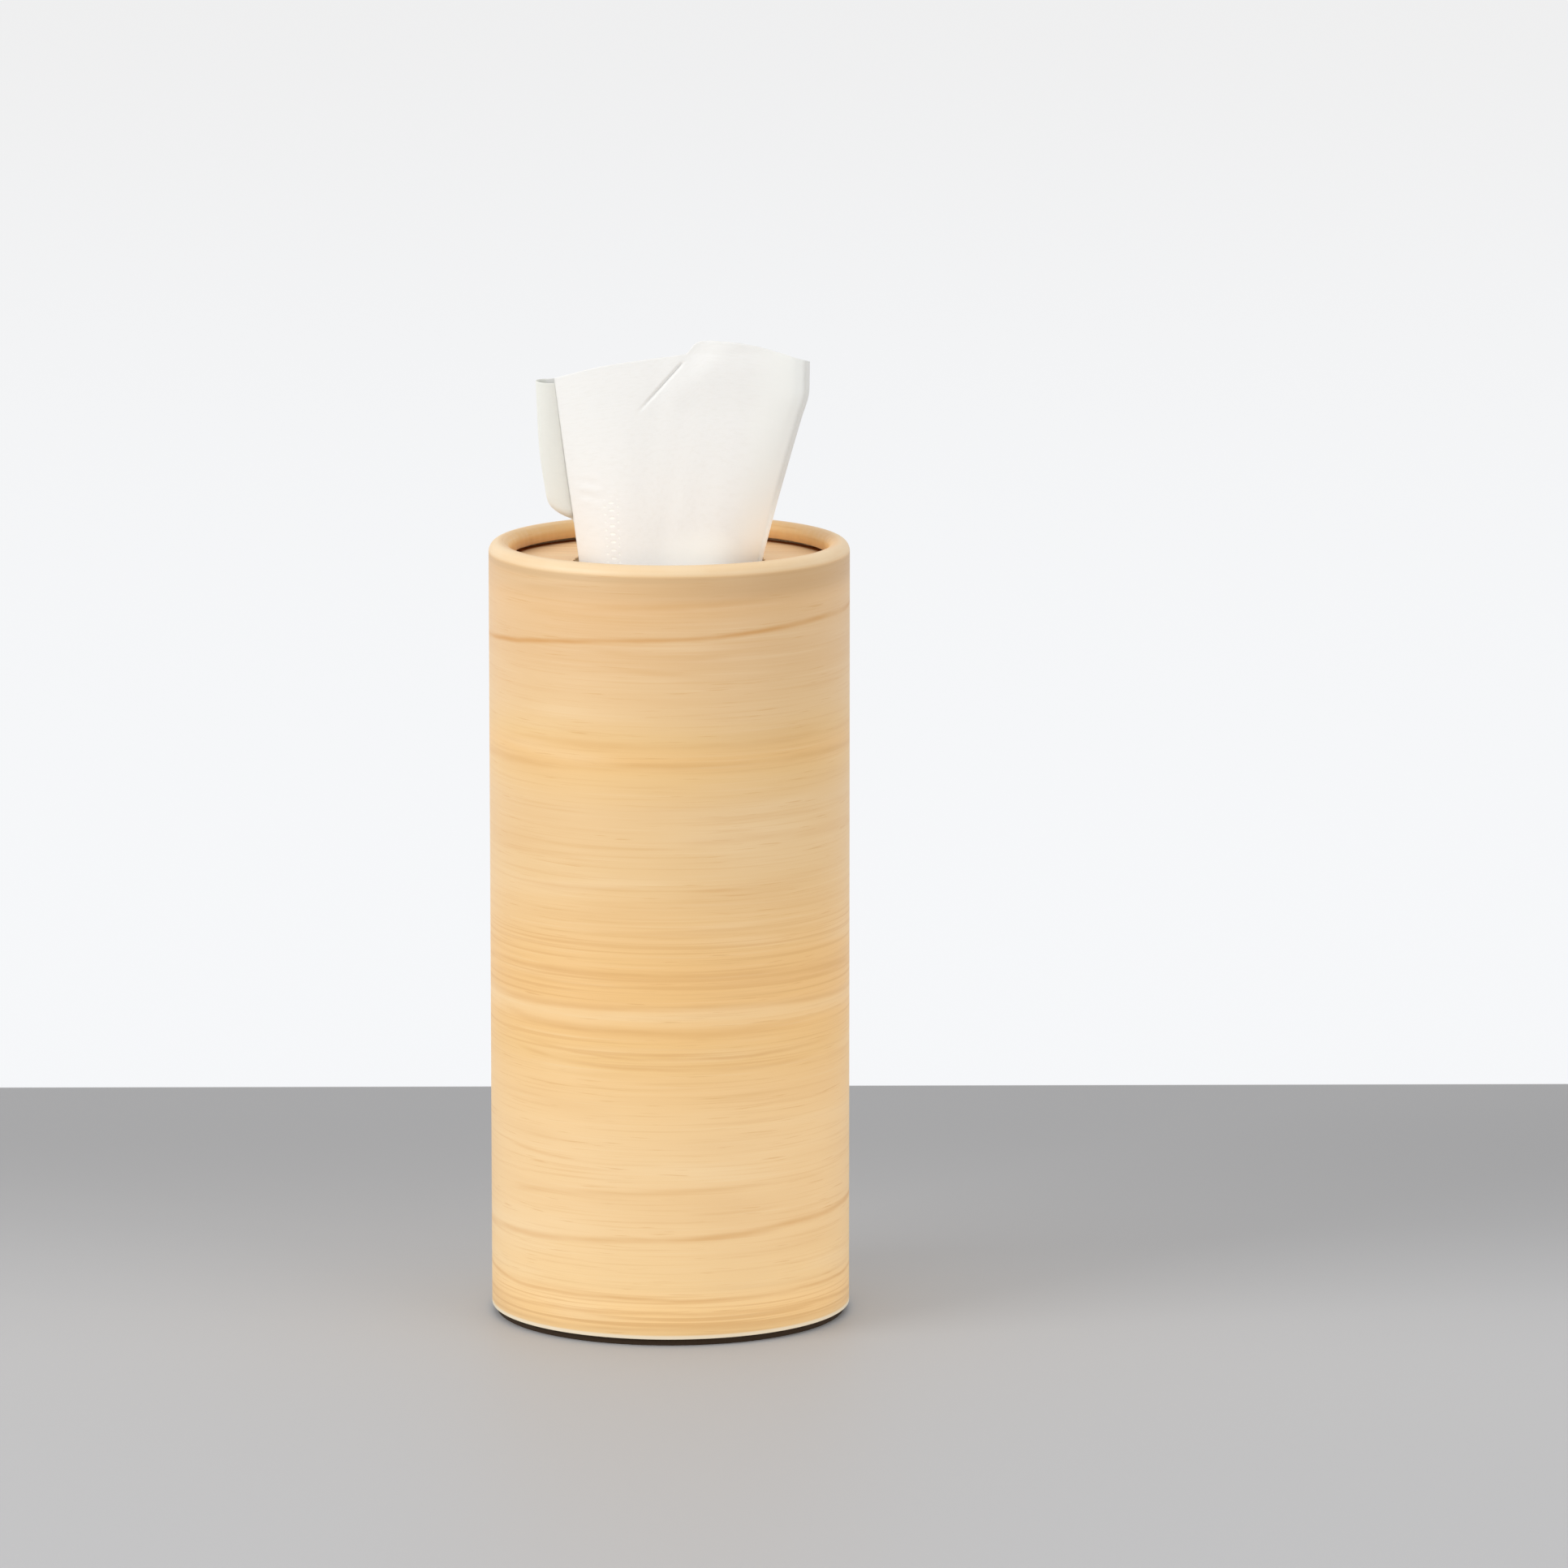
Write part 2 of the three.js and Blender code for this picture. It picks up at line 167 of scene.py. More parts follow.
class Shader:
    """Node tree of one finish, with short calls for the nodes that it uses."""

    def __init__(self, name: str) -> None:
        """Starts an empty material.

        Args:
            name: The material's name.
        """
        self.material = bpy.data.materials.new(name)
        self.material.use_nodes = True
        self.tree = self.material.node_tree
        self.tree.nodes.clear()

    def node(self, kind: str, inputs: dict | None = None, **settings: object) -> bpy.types.Node:
        """Adds a node.

        Args:
            kind: The node's type.
            inputs: Values or sockets for its inputs, by name or number.
            **settings: The node's own settings.

        Returns:
            The node.
        """
        made = self.tree.nodes.new(kind)
        for key, value in settings.items():
            setattr(made, key, value)
        for key, value in (inputs or {}).items():
            if isinstance(value, Socket):
                self.tree.links.new(value, made.inputs[key])
            else:
                made.inputs[key].default_value = value
        return made

    def place(self) -> tuple[Socket, bpy.types.Node]:
        """Reads the place on the piece.

        Returns:
            The place in metres, and the node that parts it into its axes.
        """
        place = self.node("ShaderNodeTexCoord").outputs["Object"]
        return place, self.node("ShaderNodeSeparateXYZ", {0: place})

    def chart(self) -> tuple[Socket, Socket, Socket]:
        """Reads the piece's print map.

        Returns:
            The place on the flat sheet in metres, and its two axes in millimetres.
        """
        flat = self.node("ShaderNodeUVMap", uv_map=PRINT_MAP).outputs[0]
        parts = self.node("ShaderNodeSeparateXYZ", {0: flat})
        across, up = (self.math("MULTIPLY", parts.outputs[axis], 1.0 / MM) for axis in (0, 1))
        return flat, across, up

    def math(self, operation: str, *values: object) -> Socket:
        """Adds a sum of one to three numbers and returns its result."""
        return self.node("ShaderNodeMath", dict(enumerate(values)), operation=operation).outputs[0]

    def chain(self, operation: str, *values: object) -> Socket:
        """Works one sum along a row of numbers.

        Args:
            operation: The sum.
            *values: Two or more numbers.

        Returns:
            The result.
        """
        total = values[0]
        for value in values[1:]:
            total = self.math(operation, total, value)
        return total

    def times(self, *values: object) -> Socket:
        """Product of two or more numbers."""
        return self.chain("MULTIPLY", *values)

    def most(self, *values: object) -> Socket:
        """The largest of two or more numbers."""
        return self.chain("MAXIMUM", *values)

    def span(self, parts: bpy.types.Node) -> Socket:
        """Way from the tube's axis.

        Args:
            parts: The node that parts a place into its axes.

        Returns:
            The way, in the place's own unit.
        """
        squares = [self.math("POWER", parts.outputs[axis], 2.0) for axis in (0, 1)]
        return self.math("SQRT", self.math("ADD", *squares))

    def remap(self, value: object, low: float, high: float, to_low: float = 0.0,
              to_high: float = 1.0) -> Socket:
        """Carries a range over to another one in a soft step.

        Args:
            value: The number to carry over.
            low: Start of its range.
            high: End of its range.
            to_low: Result at low.
            to_high: Result at high.

        Returns:
            The result, held to the new range.
        """
        made = self.node(
            "ShaderNodeMapRange",
            {0: value, 1: low, 2: high, 3: to_low, 4: to_high},
            interpolation_type="SMOOTHSTEP",
        )
        return made.outputs[0]

    def band(self, value: object, low: float, high: float, rise: float, fall: float) -> Socket:
        """Marks the part of a range between two soft ends.

        Args:
            value: The number to test.
            low: Where the mark starts.
            high: Where it has ended.
            rise: Width of its soft start.
            fall: Width of its soft end.

        Returns:
            The mark, 0 to 1.
        """
        return self.times(self.remap(value, low, low + rise), self.remap(value, high, high - fall))

    def grain(self, place: object, scale: Point, detail: float = 2.0, rough: float = 0.5,
              shift: Point = (0.0, 0.0, 0.0)) -> Socket:
        """Reads soft noise, stretched by axis so that a pattern runs along one of them.

        Args:
            place: Where to read it.
            scale: Cells to a metre along each axis.
            detail: Number of finer layers.
            rough: Weight of the finer layers.
            shift: Shift of the pattern in cells.

        Returns:
            The noise, 0 to 1.
        """
        cells = self.node("ShaderNodeMapping", {"Vector": place, "Location": shift, "Scale": scale})
        made = self.node("ShaderNodeTexNoise", {
            "Vector": cells.outputs[0], "Scale": 1.0, "Detail": detail, "Roughness": rough,
        })
        return made.outputs["Fac"]

    def turn(self, place: object, angle: float) -> Socket:
        """Turns a flat place by an angle in radians."""
        return self.node("ShaderNodeMapping", {"Vector": place, "Rotation": (0.0, 0.0, angle)}).outputs[0]

    def slide(self, place: object, rows: float, reach: float) -> Socket:
        """Slides each thin row of a streaky pattern along by its own way, so that no columns show.

        Args:
            place: The place to slide, whose first axis runs along the streaks.
            rows: Rows to a metre.
            reach: The longest way in metres.

        Returns:
            The place to read the pattern at.
        """
        parts = self.node("ShaderNodeSeparateXYZ", {0: place})
        row = self.grain(place, (0.0, rows, 0.0), 3.0, 0.6, (0.5, 0.37, 0.5))
        along = self.math("MULTIPLY_ADD", row, reach, parts.outputs[0])
        made = self.node("ShaderNodeCombineXYZ", {0: along, 1: parts.outputs[1], 2: parts.outputs[2]})
        return made.outputs[0]

    def blend(self, share: object, first: object, second: object) -> Socket:
        """Mixes two colours.

        Args:
            share: Share of the second one.
            first: A colour or its socket.
            second: A colour or its socket.

        Returns:
            The mixed colour.
        """
        pair = [colour if isinstance(colour, Socket) else (*colour, 1.0) for colour in (first, second)]
        made = self.node("ShaderNodeMix", {0: share, 6: pair[0], 7: pair[1]}, data_type="RGBA")
        return made.outputs[2]

    def tinge(self, colour: object, tone: Colour, value: object, low: float, high: float,
              share: float = 1.0) -> Socket:
        """Mixes a tone into a colour where a pattern runs from low to high.

        Args:
            colour: The colour.
            tone: What is mixed in.
            value: The pattern.
            low: Where the tone starts.
            high: Where it has its full share.
            share: Its full share.

        Returns:
            The new colour.
        """
        return self.blend(self.remap(value, low, high, 0.0, share), colour, tone)

    def ramp(self, value: object, stops: Sequence[tuple[float, Colour]]) -> Socket:
        """Reads a colour from a row of stops.

        Args:
            value: Where to read, 0 to 1.
            stops: Place and colour of each stop, by rising place.

        Returns:
            The colour.
        """
        made = self.node("ShaderNodeValToRGB", {0: value})
        elements = made.color_ramp.elements
        for place, colour in stops[1:-1]:
            elements.new(place).color = (*colour, 1.0)
        for element, (place, colour) in zip(elements, stops):
            element.position = place
            element.color = (*colour, 1.0)
        return made.outputs[0]

    def relief(self, height: object, depth: float, strength: float) -> Socket:
        """Turns a height of 0 to 1 into a relief of a depth in metres."""
        made = self.node("ShaderNodeBump", {"Height": height, "Distance": depth, "Strength": strength})
        return made.outputs[0]

    def close(self, inputs: dict) -> bpy.types.Material:
        """Ends the tree in one surface.

        Args:
            inputs: Values or sockets of the surface shader.

        Returns:
            The finished material.
        """
        surface = self.node("ShaderNodeBsdfPrincipled", inputs)
        self.node("ShaderNodeOutputMaterial", {"Surface": surface.outputs[0]})
        return self.material


class Finish:
    """What the finishes share: a name, a slot, and a material that is made once."""

    name: str = "finish"
    slot: Slot = Slot.BOARD

    def material(self) -> bpy.types.Material:
        """The finish's material, made at its first use."""
        return bpy.data.materials.get(self.name) or self.paint(Shader(self.name))

    def paint(self, shader: Shader) -> bpy.types.Material:
        """Fills the node tree; each finish has its own."""
        raise NotImplementedError


@dataclass(frozen=True)
class GrainLine:
    """One printed grain line round the tube, in millimetres from the front."""

    height: float
    slope: float = 0.0
    bend: float = 0.0
    width: float = 0.6
    strength: float = 0.5
    start: float = -130.0
    end: float = 130.0
    fade: float = 6.0

    def full(self) -> bool:
        """Whether the line runs all the way round."""
        return self.end - self.start > 200.0


@dataclass(frozen=True)
class WoodPrint(Finish):
    """Pale wood grain printed on paper, running round the tube.

    Heights are in millimetres up the print: up the wall, over the rim and down its inner side.
    """

    name: str = "wood_grain_wrap"
    slot: Slot = Slot.PRINT
    reach: float = 170.0
    line_colour: Colour = linear(209, 154, 86)
    streak_colour: Colour = linear(217, 169, 108)
    pale_colour: Colour = linear(246, 222, 182)
    # painted highlight on the rim's lip, stronger at the front
    lip_highlight_colour: Colour = linear(235, 211, 174)
    cut_colour: Colour = linear(252, 240, 215)
    # painted shade under the rim: a darker band towards the right and a thin line just below the lip
    rim_shade_colour: Colour = linear(188, 151, 106)
    cut_edge: Span = (2.5, 2.0)
    cut_share: float = 0.9
    rim_shade_rise: Span = (153.5, 158.0)
    rim_shade_line: Span = (158.2, 160.0)
    rim_shade_end: Span = (161.1, 160.4)
    rim_shade_right: Span = (-16.0, 24.0)
    rim_shade_behind: Span = (98.0, 58.0)
    rim_shade_shares: Span = (0.26, 0.52)
    rim_shade_line_share: float = 0.48
    # where the painted highlight on the lip lies
    lip_start: Span = (160.7, 161.6)
    lip_end: Span = (165.0, 163.2)
    lip_front: Span = (30.0, 18.0)
    lip_front_end: Span = (166.2, 164.9)
    lip_shares: Span = (0.50, 0.75)
    gather_rise: Span = (164.5, 167.5)
    slant: float = 0.6
    bands: tuple[tuple[float, tuple[int, int, int]], ...] = (
        (0.0, (250, 212, 153)),
        (5.0, (249, 208, 146)),
        (12.0, (241, 206, 151)),
        (26.0, (239, 204, 152)),
        (42.0, (239, 204, 152)),
        (55.0, (238, 199, 141)),
        (60.0, (236, 195, 132)),
        (66.0, (237, 194, 130)),
        (69.0, (240, 203, 148)),
        (72.0, (236, 192, 128)),
        (80.0, (236, 193, 130)),
        (88.0, (234, 195, 138)),
        (98.0, (232, 196, 143)),
        (112.0, (231, 195, 143)),
        (119.0, (233, 194, 135)),
        (123.0, (234, 191, 128)),
        (127.0, (232, 194, 136)),
        (132.0, (231, 195, 144)),
        (145.0, (226, 188, 139)),
        (158.0, (228, 188, 137)),
        (163.5, (226, 189, 138)),
        (165.0, (226, 185, 130)),
        (167.0, (234, 190, 124)),
        (168.3, (224, 173, 108)),
        # the last stop darkens the rim's inner leg end: painted shade in the gap under the rim
        (170.0, (168, 108, 60)),
    )
    lines: tuple[GrainLine, ...] = (
        GrainLine(147.8, 0.0607, -0.00017, 0.95, 0.80),
        GrainLine(155.0, 0.04, -0.001, 1.3, 0.32, -16.0, 20.0),
        GrainLine(159.2, 0.05, 0.0, 1.1, 0.20, -36.0, -8.0),
        GrainLine(144.0, 0.0, 0.0014, 1.1, 0.26, -14.0, 10.0),
        GrainLine(140.5, -0.05, 0.0, 1.1, 0.18, -12.0, 4.0),
        GrainLine(126.0, 0.0087, -0.0003, 1.2, 0.24, -38.0, 60.0),
        GrainLine(121.7, 0.017, -0.00038, 1.3, 0.32),
        GrainLine(111.1, -0.03, 0.0, 0.8, 0.18, 6.0, 34.0),
        GrainLine(106.3, 0.005, -0.0007, 1.5, 0.26, 4.0, 70.0),
        GrainLine(102.6, 0.02, 0.0, 0.9, 0.20, -44.0, -18.0),
        GrainLine(95.2, 0.02, 0.0, 0.6, 0.40, 6.0, 14.0),
        GrainLine(95.8, 0.03, 0.0, 1.2, 0.20, -36.0, -8.0),
        GrainLine(86.4, 0.0, -0.0009, 0.8, 0.18, -18.0, 36.0),
        GrainLine(78.2, -0.013, -0.0008, 1.2, 0.36, -60.0, 60.0),
        GrainLine(75.6, 0.004, -0.0004, 0.7, 0.30),
        GrainLine(71.0, 0.0014, -0.0003, 1.1, 0.32),
        GrainLine(66.0, -0.02, 0.0003, 1.4, 0.34, -40.0, 30.0),
        GrainLine(60.6, -0.02, 0.0008, 0.6, 0.40, -30.0, 40.0),
        GrainLine(58.4, -0.0234, 0.0006, 0.8, 0.36, -34.0, 30.0),
        GrainLine(37.9, 0.027, 0.0017, 0.7, 0.22, -40.0, -18.0),
        GrainLine(32.6, 0.04, -0.0008, 1.1, 0.22, -40.0, 34.0),
        GrainLine(28.0, -0.006, 0.0002, 0.6, 0.28, 7.0, 23.0),
        GrainLine(22.7, 0.045, -0.00013, 1.2, 0.46),
        GrainLine(9.6, -0.0078, 0.00037, 0.75, 0.50),
        GrainLine(6.7, -0.011, -0.0003, 0.75, 0.38),
        GrainLine(3.4, 0.0, 0.0, 0.8, 0.28),
    )
    thickets: tuple[tuple[float, float, float], ...] = (
        (70.5, 88.0, 0.50), (57.5, 67.0, 0.46), (2.5, 10.5, 0.6),
    )
    thicket_ease: Span = (2.0, 3.0)

    def line_mask(self, shader: Shader, along: object, height: object) -> Socket:
        """Draws the single grain lines.

        Args:
            shader: The finish's node tree.
            along: Way round the tube from the front, in millimetres.
            height: Way up the print, in millimetres.

        Returns:
            Strength of the lines, 0 to 1.
        """
        squared = shader.times(along, along)
        masks = []
        for line in self.lines:
            course = shader.math("MULTIPLY_ADD", along, line.slope, line.height)
            course = shader.math("MULTIPLY_ADD", squared, line.bend, course)
            away = shader.math("ABSOLUTE", shader.math("SUBTRACT", height, course))
            mask = shader.remap(away, 0.0, line.width, line.strength, 0.0)
            if not line.full():
                ends = (line.start - line.fade, line.end + line.fade)
                mask = shader.times(mask, shader.band(along, *ends, 2.0 * line.fade, 2.0 * line.fade))
            masks.append(mask)
        return shader.most(*masks)

    def thicket_mask(self, shader: Shader, height: object) -> Socket:
        """Marks the bands that are full of fine lines.

        Args:
            shader: The finish's node tree.
            height: Way up the print, in millimetres.

        Returns:
            Strength of the fine lines, 0 to 1.
        """
        rise, fall = self.thicket_ease
        masks = []
        for low, high, strength in self.thickets:
            mask = shader.band(height, low - rise, high + fall, 2.0 * rise, 2.0 * fall)
            masks.append(shader.times(mask, strength))
        return shader.most(*masks)

    def tone(self, shader: Shader, flat: object, loose: object, height: object) -> Socket:
        """Lays the ground colour: bands of tone, clouds and fine streaks.

        Args:
            shader: The finish's node tree.
            flat: Place on the print.
            loose: The same with each thin row slid along.
            height: Way up the print, in millimetres.

        Returns:
            The ground colour.
        """
        stops = [(z / self.reach, linear(*tone)) for z, tone in self.bands]
        colour = shader.ramp(shader.math("DIVIDE", height, self.reach), stops)
        clouds = shader.grain(flat, (16.0, 130.0, 1.0), shift=(3.1, 0.7, 0.0))
        colour = shader.tinge(colour, self.streak_colour, clouds, 0.50, 0.80, 0.26)
        colour = shader.tinge(colour, self.pale_colour, clouds, 0.48, 0.22, 0.30)
        fine = shader.grain(loose, (26.0, 1250.0, 1.0), 3.0, 0.6)
        colour = shader.tinge(colour, self.streak_colour, fine, 0.50, 0.72, 0.30)
        return shader.tinge(colour, self.pale_colour, fine, 0.48, 0.20, 0.20)

    def ink(self, shader: Shader, flat: object, loose: object, along: object, height: object) -> Socket:
        """Lays the darker ink: single lines, thickets of fine lines and pores.

        Args:
            shader: The finish's node tree.
            flat: Place on the print.
            loose: The same with each thin row slid along.
            along: Way round the tube from the front, in millimetres.
            height: Way up the print, in millimetres.

        Returns:
            Strength of the ink, 0 to 1.
        """
        uneven = shader.grain(flat, (48.0, 420.0, 1.0), shift=(0.4, 2.0, 0.0))
        uneven = shader.remap(uneven, 0.25, 0.70, 0.35, 1.15)
        lines = shader.times(self.line_mask(shader, along, height), uneven)
        threads = shader.grain(loose, (11.0, 1150.0, 1.0), shift=(5.0, 0.3, 0.0))
        threads = shader.remap(threads, 0.52, 0.62, 0.0, 0.60)
        threads = shader.times(threads, self.thicket_mask(shader, height))
        pores = shader.grain(loose, (110.0, 1700.0, 1.0), 1.0)
        return shader.most(lines, threads, shader.remap(pores, 0.65, 0.74, 0.0, 0.34))

    def edges(self, shader: Shader, colour: object, along: object, up: object, quiver: object) -> Socket:
        """Adds the pale cut foot, painted shade under the rim and a painted highlight on the lip.

        Args:
            shader: The finish's node tree.
            colour: The printed colour.
            along: Way round the tube from the front, in millimetres.
            up: Way up the print, in millimetres.
            quiver: Noise that makes the painted highlight on the lip uneven.

        Returns:
            The colour with its pale cut foot, painted shade and painted highlight.
        """
        colour = shader.tinge(colour, self.cut_colour, up, *self.cut_edge, self.cut_share)
        # painted shade under the rim, in a band towards the right and a thin line all round below the lip
        sides = [shader.remap(along, *side, *self.rim_shade_shares) for side in (self.rim_shade_right, self.rim_shade_behind)]
        rim_shade = shader.times(shader.math("MINIMUM", *sides), shader.remap(up, *self.rim_shade_rise))
        rim_shade = shader.most(rim_shade, shader.remap(up, *self.rim_shade_line, 0.0, self.rim_shade_line_share))
        rim_shade = shader.times(rim_shade, shader.remap(up, *self.rim_shade_end))
        colour = shader.blend(rim_shade, colour, self.rim_shade_colour)
        # painted highlight: a paler band over the top of the rim, reaching further inwards at the front
        front = shader.remap(shader.math("ABSOLUTE", along), *self.lip_front)
        inwards = shader.times(front, shader.remap(up, *self.lip_front_end))
        highlight_reach = shader.most(shader.remap(up, *self.lip_end), inwards)
        uneven = shader.remap(quiver, 0.3, 0.7, *self.lip_shares)
        lip_highlight = shader.times(shader.remap(up, *self.lip_start), highlight_reach, uneven)
        return shader.blend(lip_highlight, colour, self.lip_highlight_colour)

    def paint(self, shader: Shader) -> bpy.types.Material:
        """Paints the print, its pale cut foot, painted shade under the rim, a painted highlight on the lip
        and the paper's tooth.

        Args:
            shader: The finish's empty node tree.

        Returns:
            The finished material.
        """
        flat, along, up = shader.chart()
        sway = shader.grain(flat, (22.0, 60.0, 1.0), 1.0)
        quiver = shader.grain(flat, (90.0, 150.0, 1.0))
        height = shader.math("MULTIPLY_ADD", shader.math("SUBTRACT", sway, 0.5), 2.4, up)
        height = shader.math("MULTIPLY_ADD", shader.math("SUBTRACT", quiver, 0.5), 0.7, height)
        loose = shader.slide(flat, 700.0, 0.09)
        ink = self.ink(shader, flat, loose, along, height)
        colour = shader.blend(ink, self.tone(shader, flat, loose, height), self.line_colour)
        tooth = shader.grain(shader.turn(flat, self.slant), (1100.0, 1500.0, 1.0), 4.0, 0.7)
        gathers = shader.grain(flat, (700.0, 90.0, 1.0), 1.0)
        gathers = shader.times(gathers, shader.remap(up, *self.gather_rise))
        body = shader.math("MULTIPLY_ADD", gathers, 5.0, tooth)
        rough = shader.math("MULTIPLY_ADD", tooth, 0.12, shader.remap(ink, 0.0, 1.0, 0.40, 0.48))
        return shader.close({
            "Base Color": self.edges(shader, colour, along, up, quiver),
            "Roughness": rough,
            "Normal": shader.relief(body, 0.00002, 0.5),
            "Specular IOR Level": 0.50,
            "Sheen Weight": 0.05,
            "Sheen Roughness": 0.6,
        })


@dataclass(frozen=True)
class StreakPrint(Finish):
    """The same print on a flat disc: straight streaks from side to side, a little deeper in colour."""

    name: str = "wood_streak_disc"
    slot: Slot = Slot.PRINT
    base: Colour = linear(245, 205, 156)
    deep: Colour = linear(219, 168, 113)
    pale: Colour = linear(247, 216, 171)
    # painted shade of the gap under the rim, on the disc's outer margin
    rim_gap_shade: Colour = linear(205, 112, 28)
    rim_gap_shade_edge: Span = (0.0334, 0.0340)
    slant: float = 0.06

    def paint(self, shader: Shader) -> bpy.types.Material:
        """Paints broad streaks, fine threads, painted shade at the margin under the rim, and paper tooth.

        Args:
            shader: The finish's empty node tree.

        Returns:
            The finished material.
        """
        place, parts = shader.place()
        turned = shader.turn(place, self.slant)
        loose = shader.slide(turned, 700.0, 0.06)
        broad = shader.grain(turned, (9.0, 190.0, 190.0))
        fine = shader.grain(loose, (22.0, 1500.0, 1500.0), 3.0, 0.6)
        threads = shader.grain(turned, (14.0, 620.0, 620.0), 1.0, shift=(2.0, 0.0, 0.0))
        colour = shader.tinge(self.base, self.deep, broad, 0.48, 0.75, 0.45)
        colour = shader.tinge(colour, self.pale, broad, 0.46, 0.24, 0.40)
        colour = shader.tinge(colour, self.deep, fine, 0.48, 0.80, 0.40)
        colour = shader.tinge(colour, self.deep, threads, 0.60, 0.72, 0.55)
        # painted shade in the gap under the rim
        colour = shader.tinge(colour, self.rim_gap_shade, shader.span(parts), *self.rim_gap_shade_edge)
        tooth = shader.grain(place, (1500.0, 1700.0, 1600.0), 3.0, 0.6)
        return shader.close({
            "Base Color": colour,
            "Roughness": shader.remap(tooth, 0.2, 0.8, 0.50, 0.64),
            "Normal": shader.relief(tooth, 0.00003, 0.5),
            "Specular IOR Level": 0.36,
        })


@dataclass(frozen=True)
class PaperBoard(Finish):
    """Pressed board of long fibres, with darker and paler flecks and layered cut edges."""

    name: str = "fibre_board"
    slot: Slot = Slot.BOARD
    base: Colour = linear(204, 174, 134)
    dark: Colour = linear(148, 112, 76)
    light: Colour = linear(230, 206, 170)
    # painted shade at the foot, where the tube meets the table
    foot: Colour = linear(56, 43, 31)
    foot_shade_high: float = 0.0016
    layer: float = 0.0004

    def paint(self, shader: Shader) -> bpy.types.Material:
        """Paints mottling, fibres, the layers of a cut edge and painted shade at the foot.

        Args:
            shader: The finish's empty node tree.

        Returns:
            The finished material.
        """
        place, parts = shader.place()
        mottle = shader.grain(place, (240.0, 240.0, 240.0), 4.0, 0.6)
        fibres = shader.grain(place, (2400.0, 1700.0, 700.0), 3.0, 0.65)
        flecks = shader.grain(place, (900.0, 1300.0, 900.0), 1.0, shift=(7.0, 1.0, 3.0))
        layers = shader.math("SINE", shader.times(shader.span(parts), FULL_TURN / self.layer))
        colour = shader.tinge(self.base, self.dark, mottle, 0.42, 0.75, 0.40)
        colour = shader.tinge(colour, self.light, fibres, 0.45, 0.75, 0.55)
        colour = shader.tinge(colour, self.dark, flecks, 0.67, 0.76, 0.70)
        colour = shader.tinge(colour, self.dark, layers, 0.2, 1.0, 0.16)
        # painted shade along the foot's lowest millimetres
        colour = shader.tinge(colour, self.foot, parts.outputs[2], self.foot_shade_high, 0.8 * self.foot_shade_high)
        return shader.close({
            "Base Color": colour,
            "Roughness": shader.remap(fibres, 0.2, 0.8, 0.78, 0.94),
            "Normal": shader.relief(shader.math("ADD", fibres, mottle), 0.00006, 0.8),
            "Specular IOR Level": 0.22,
        })


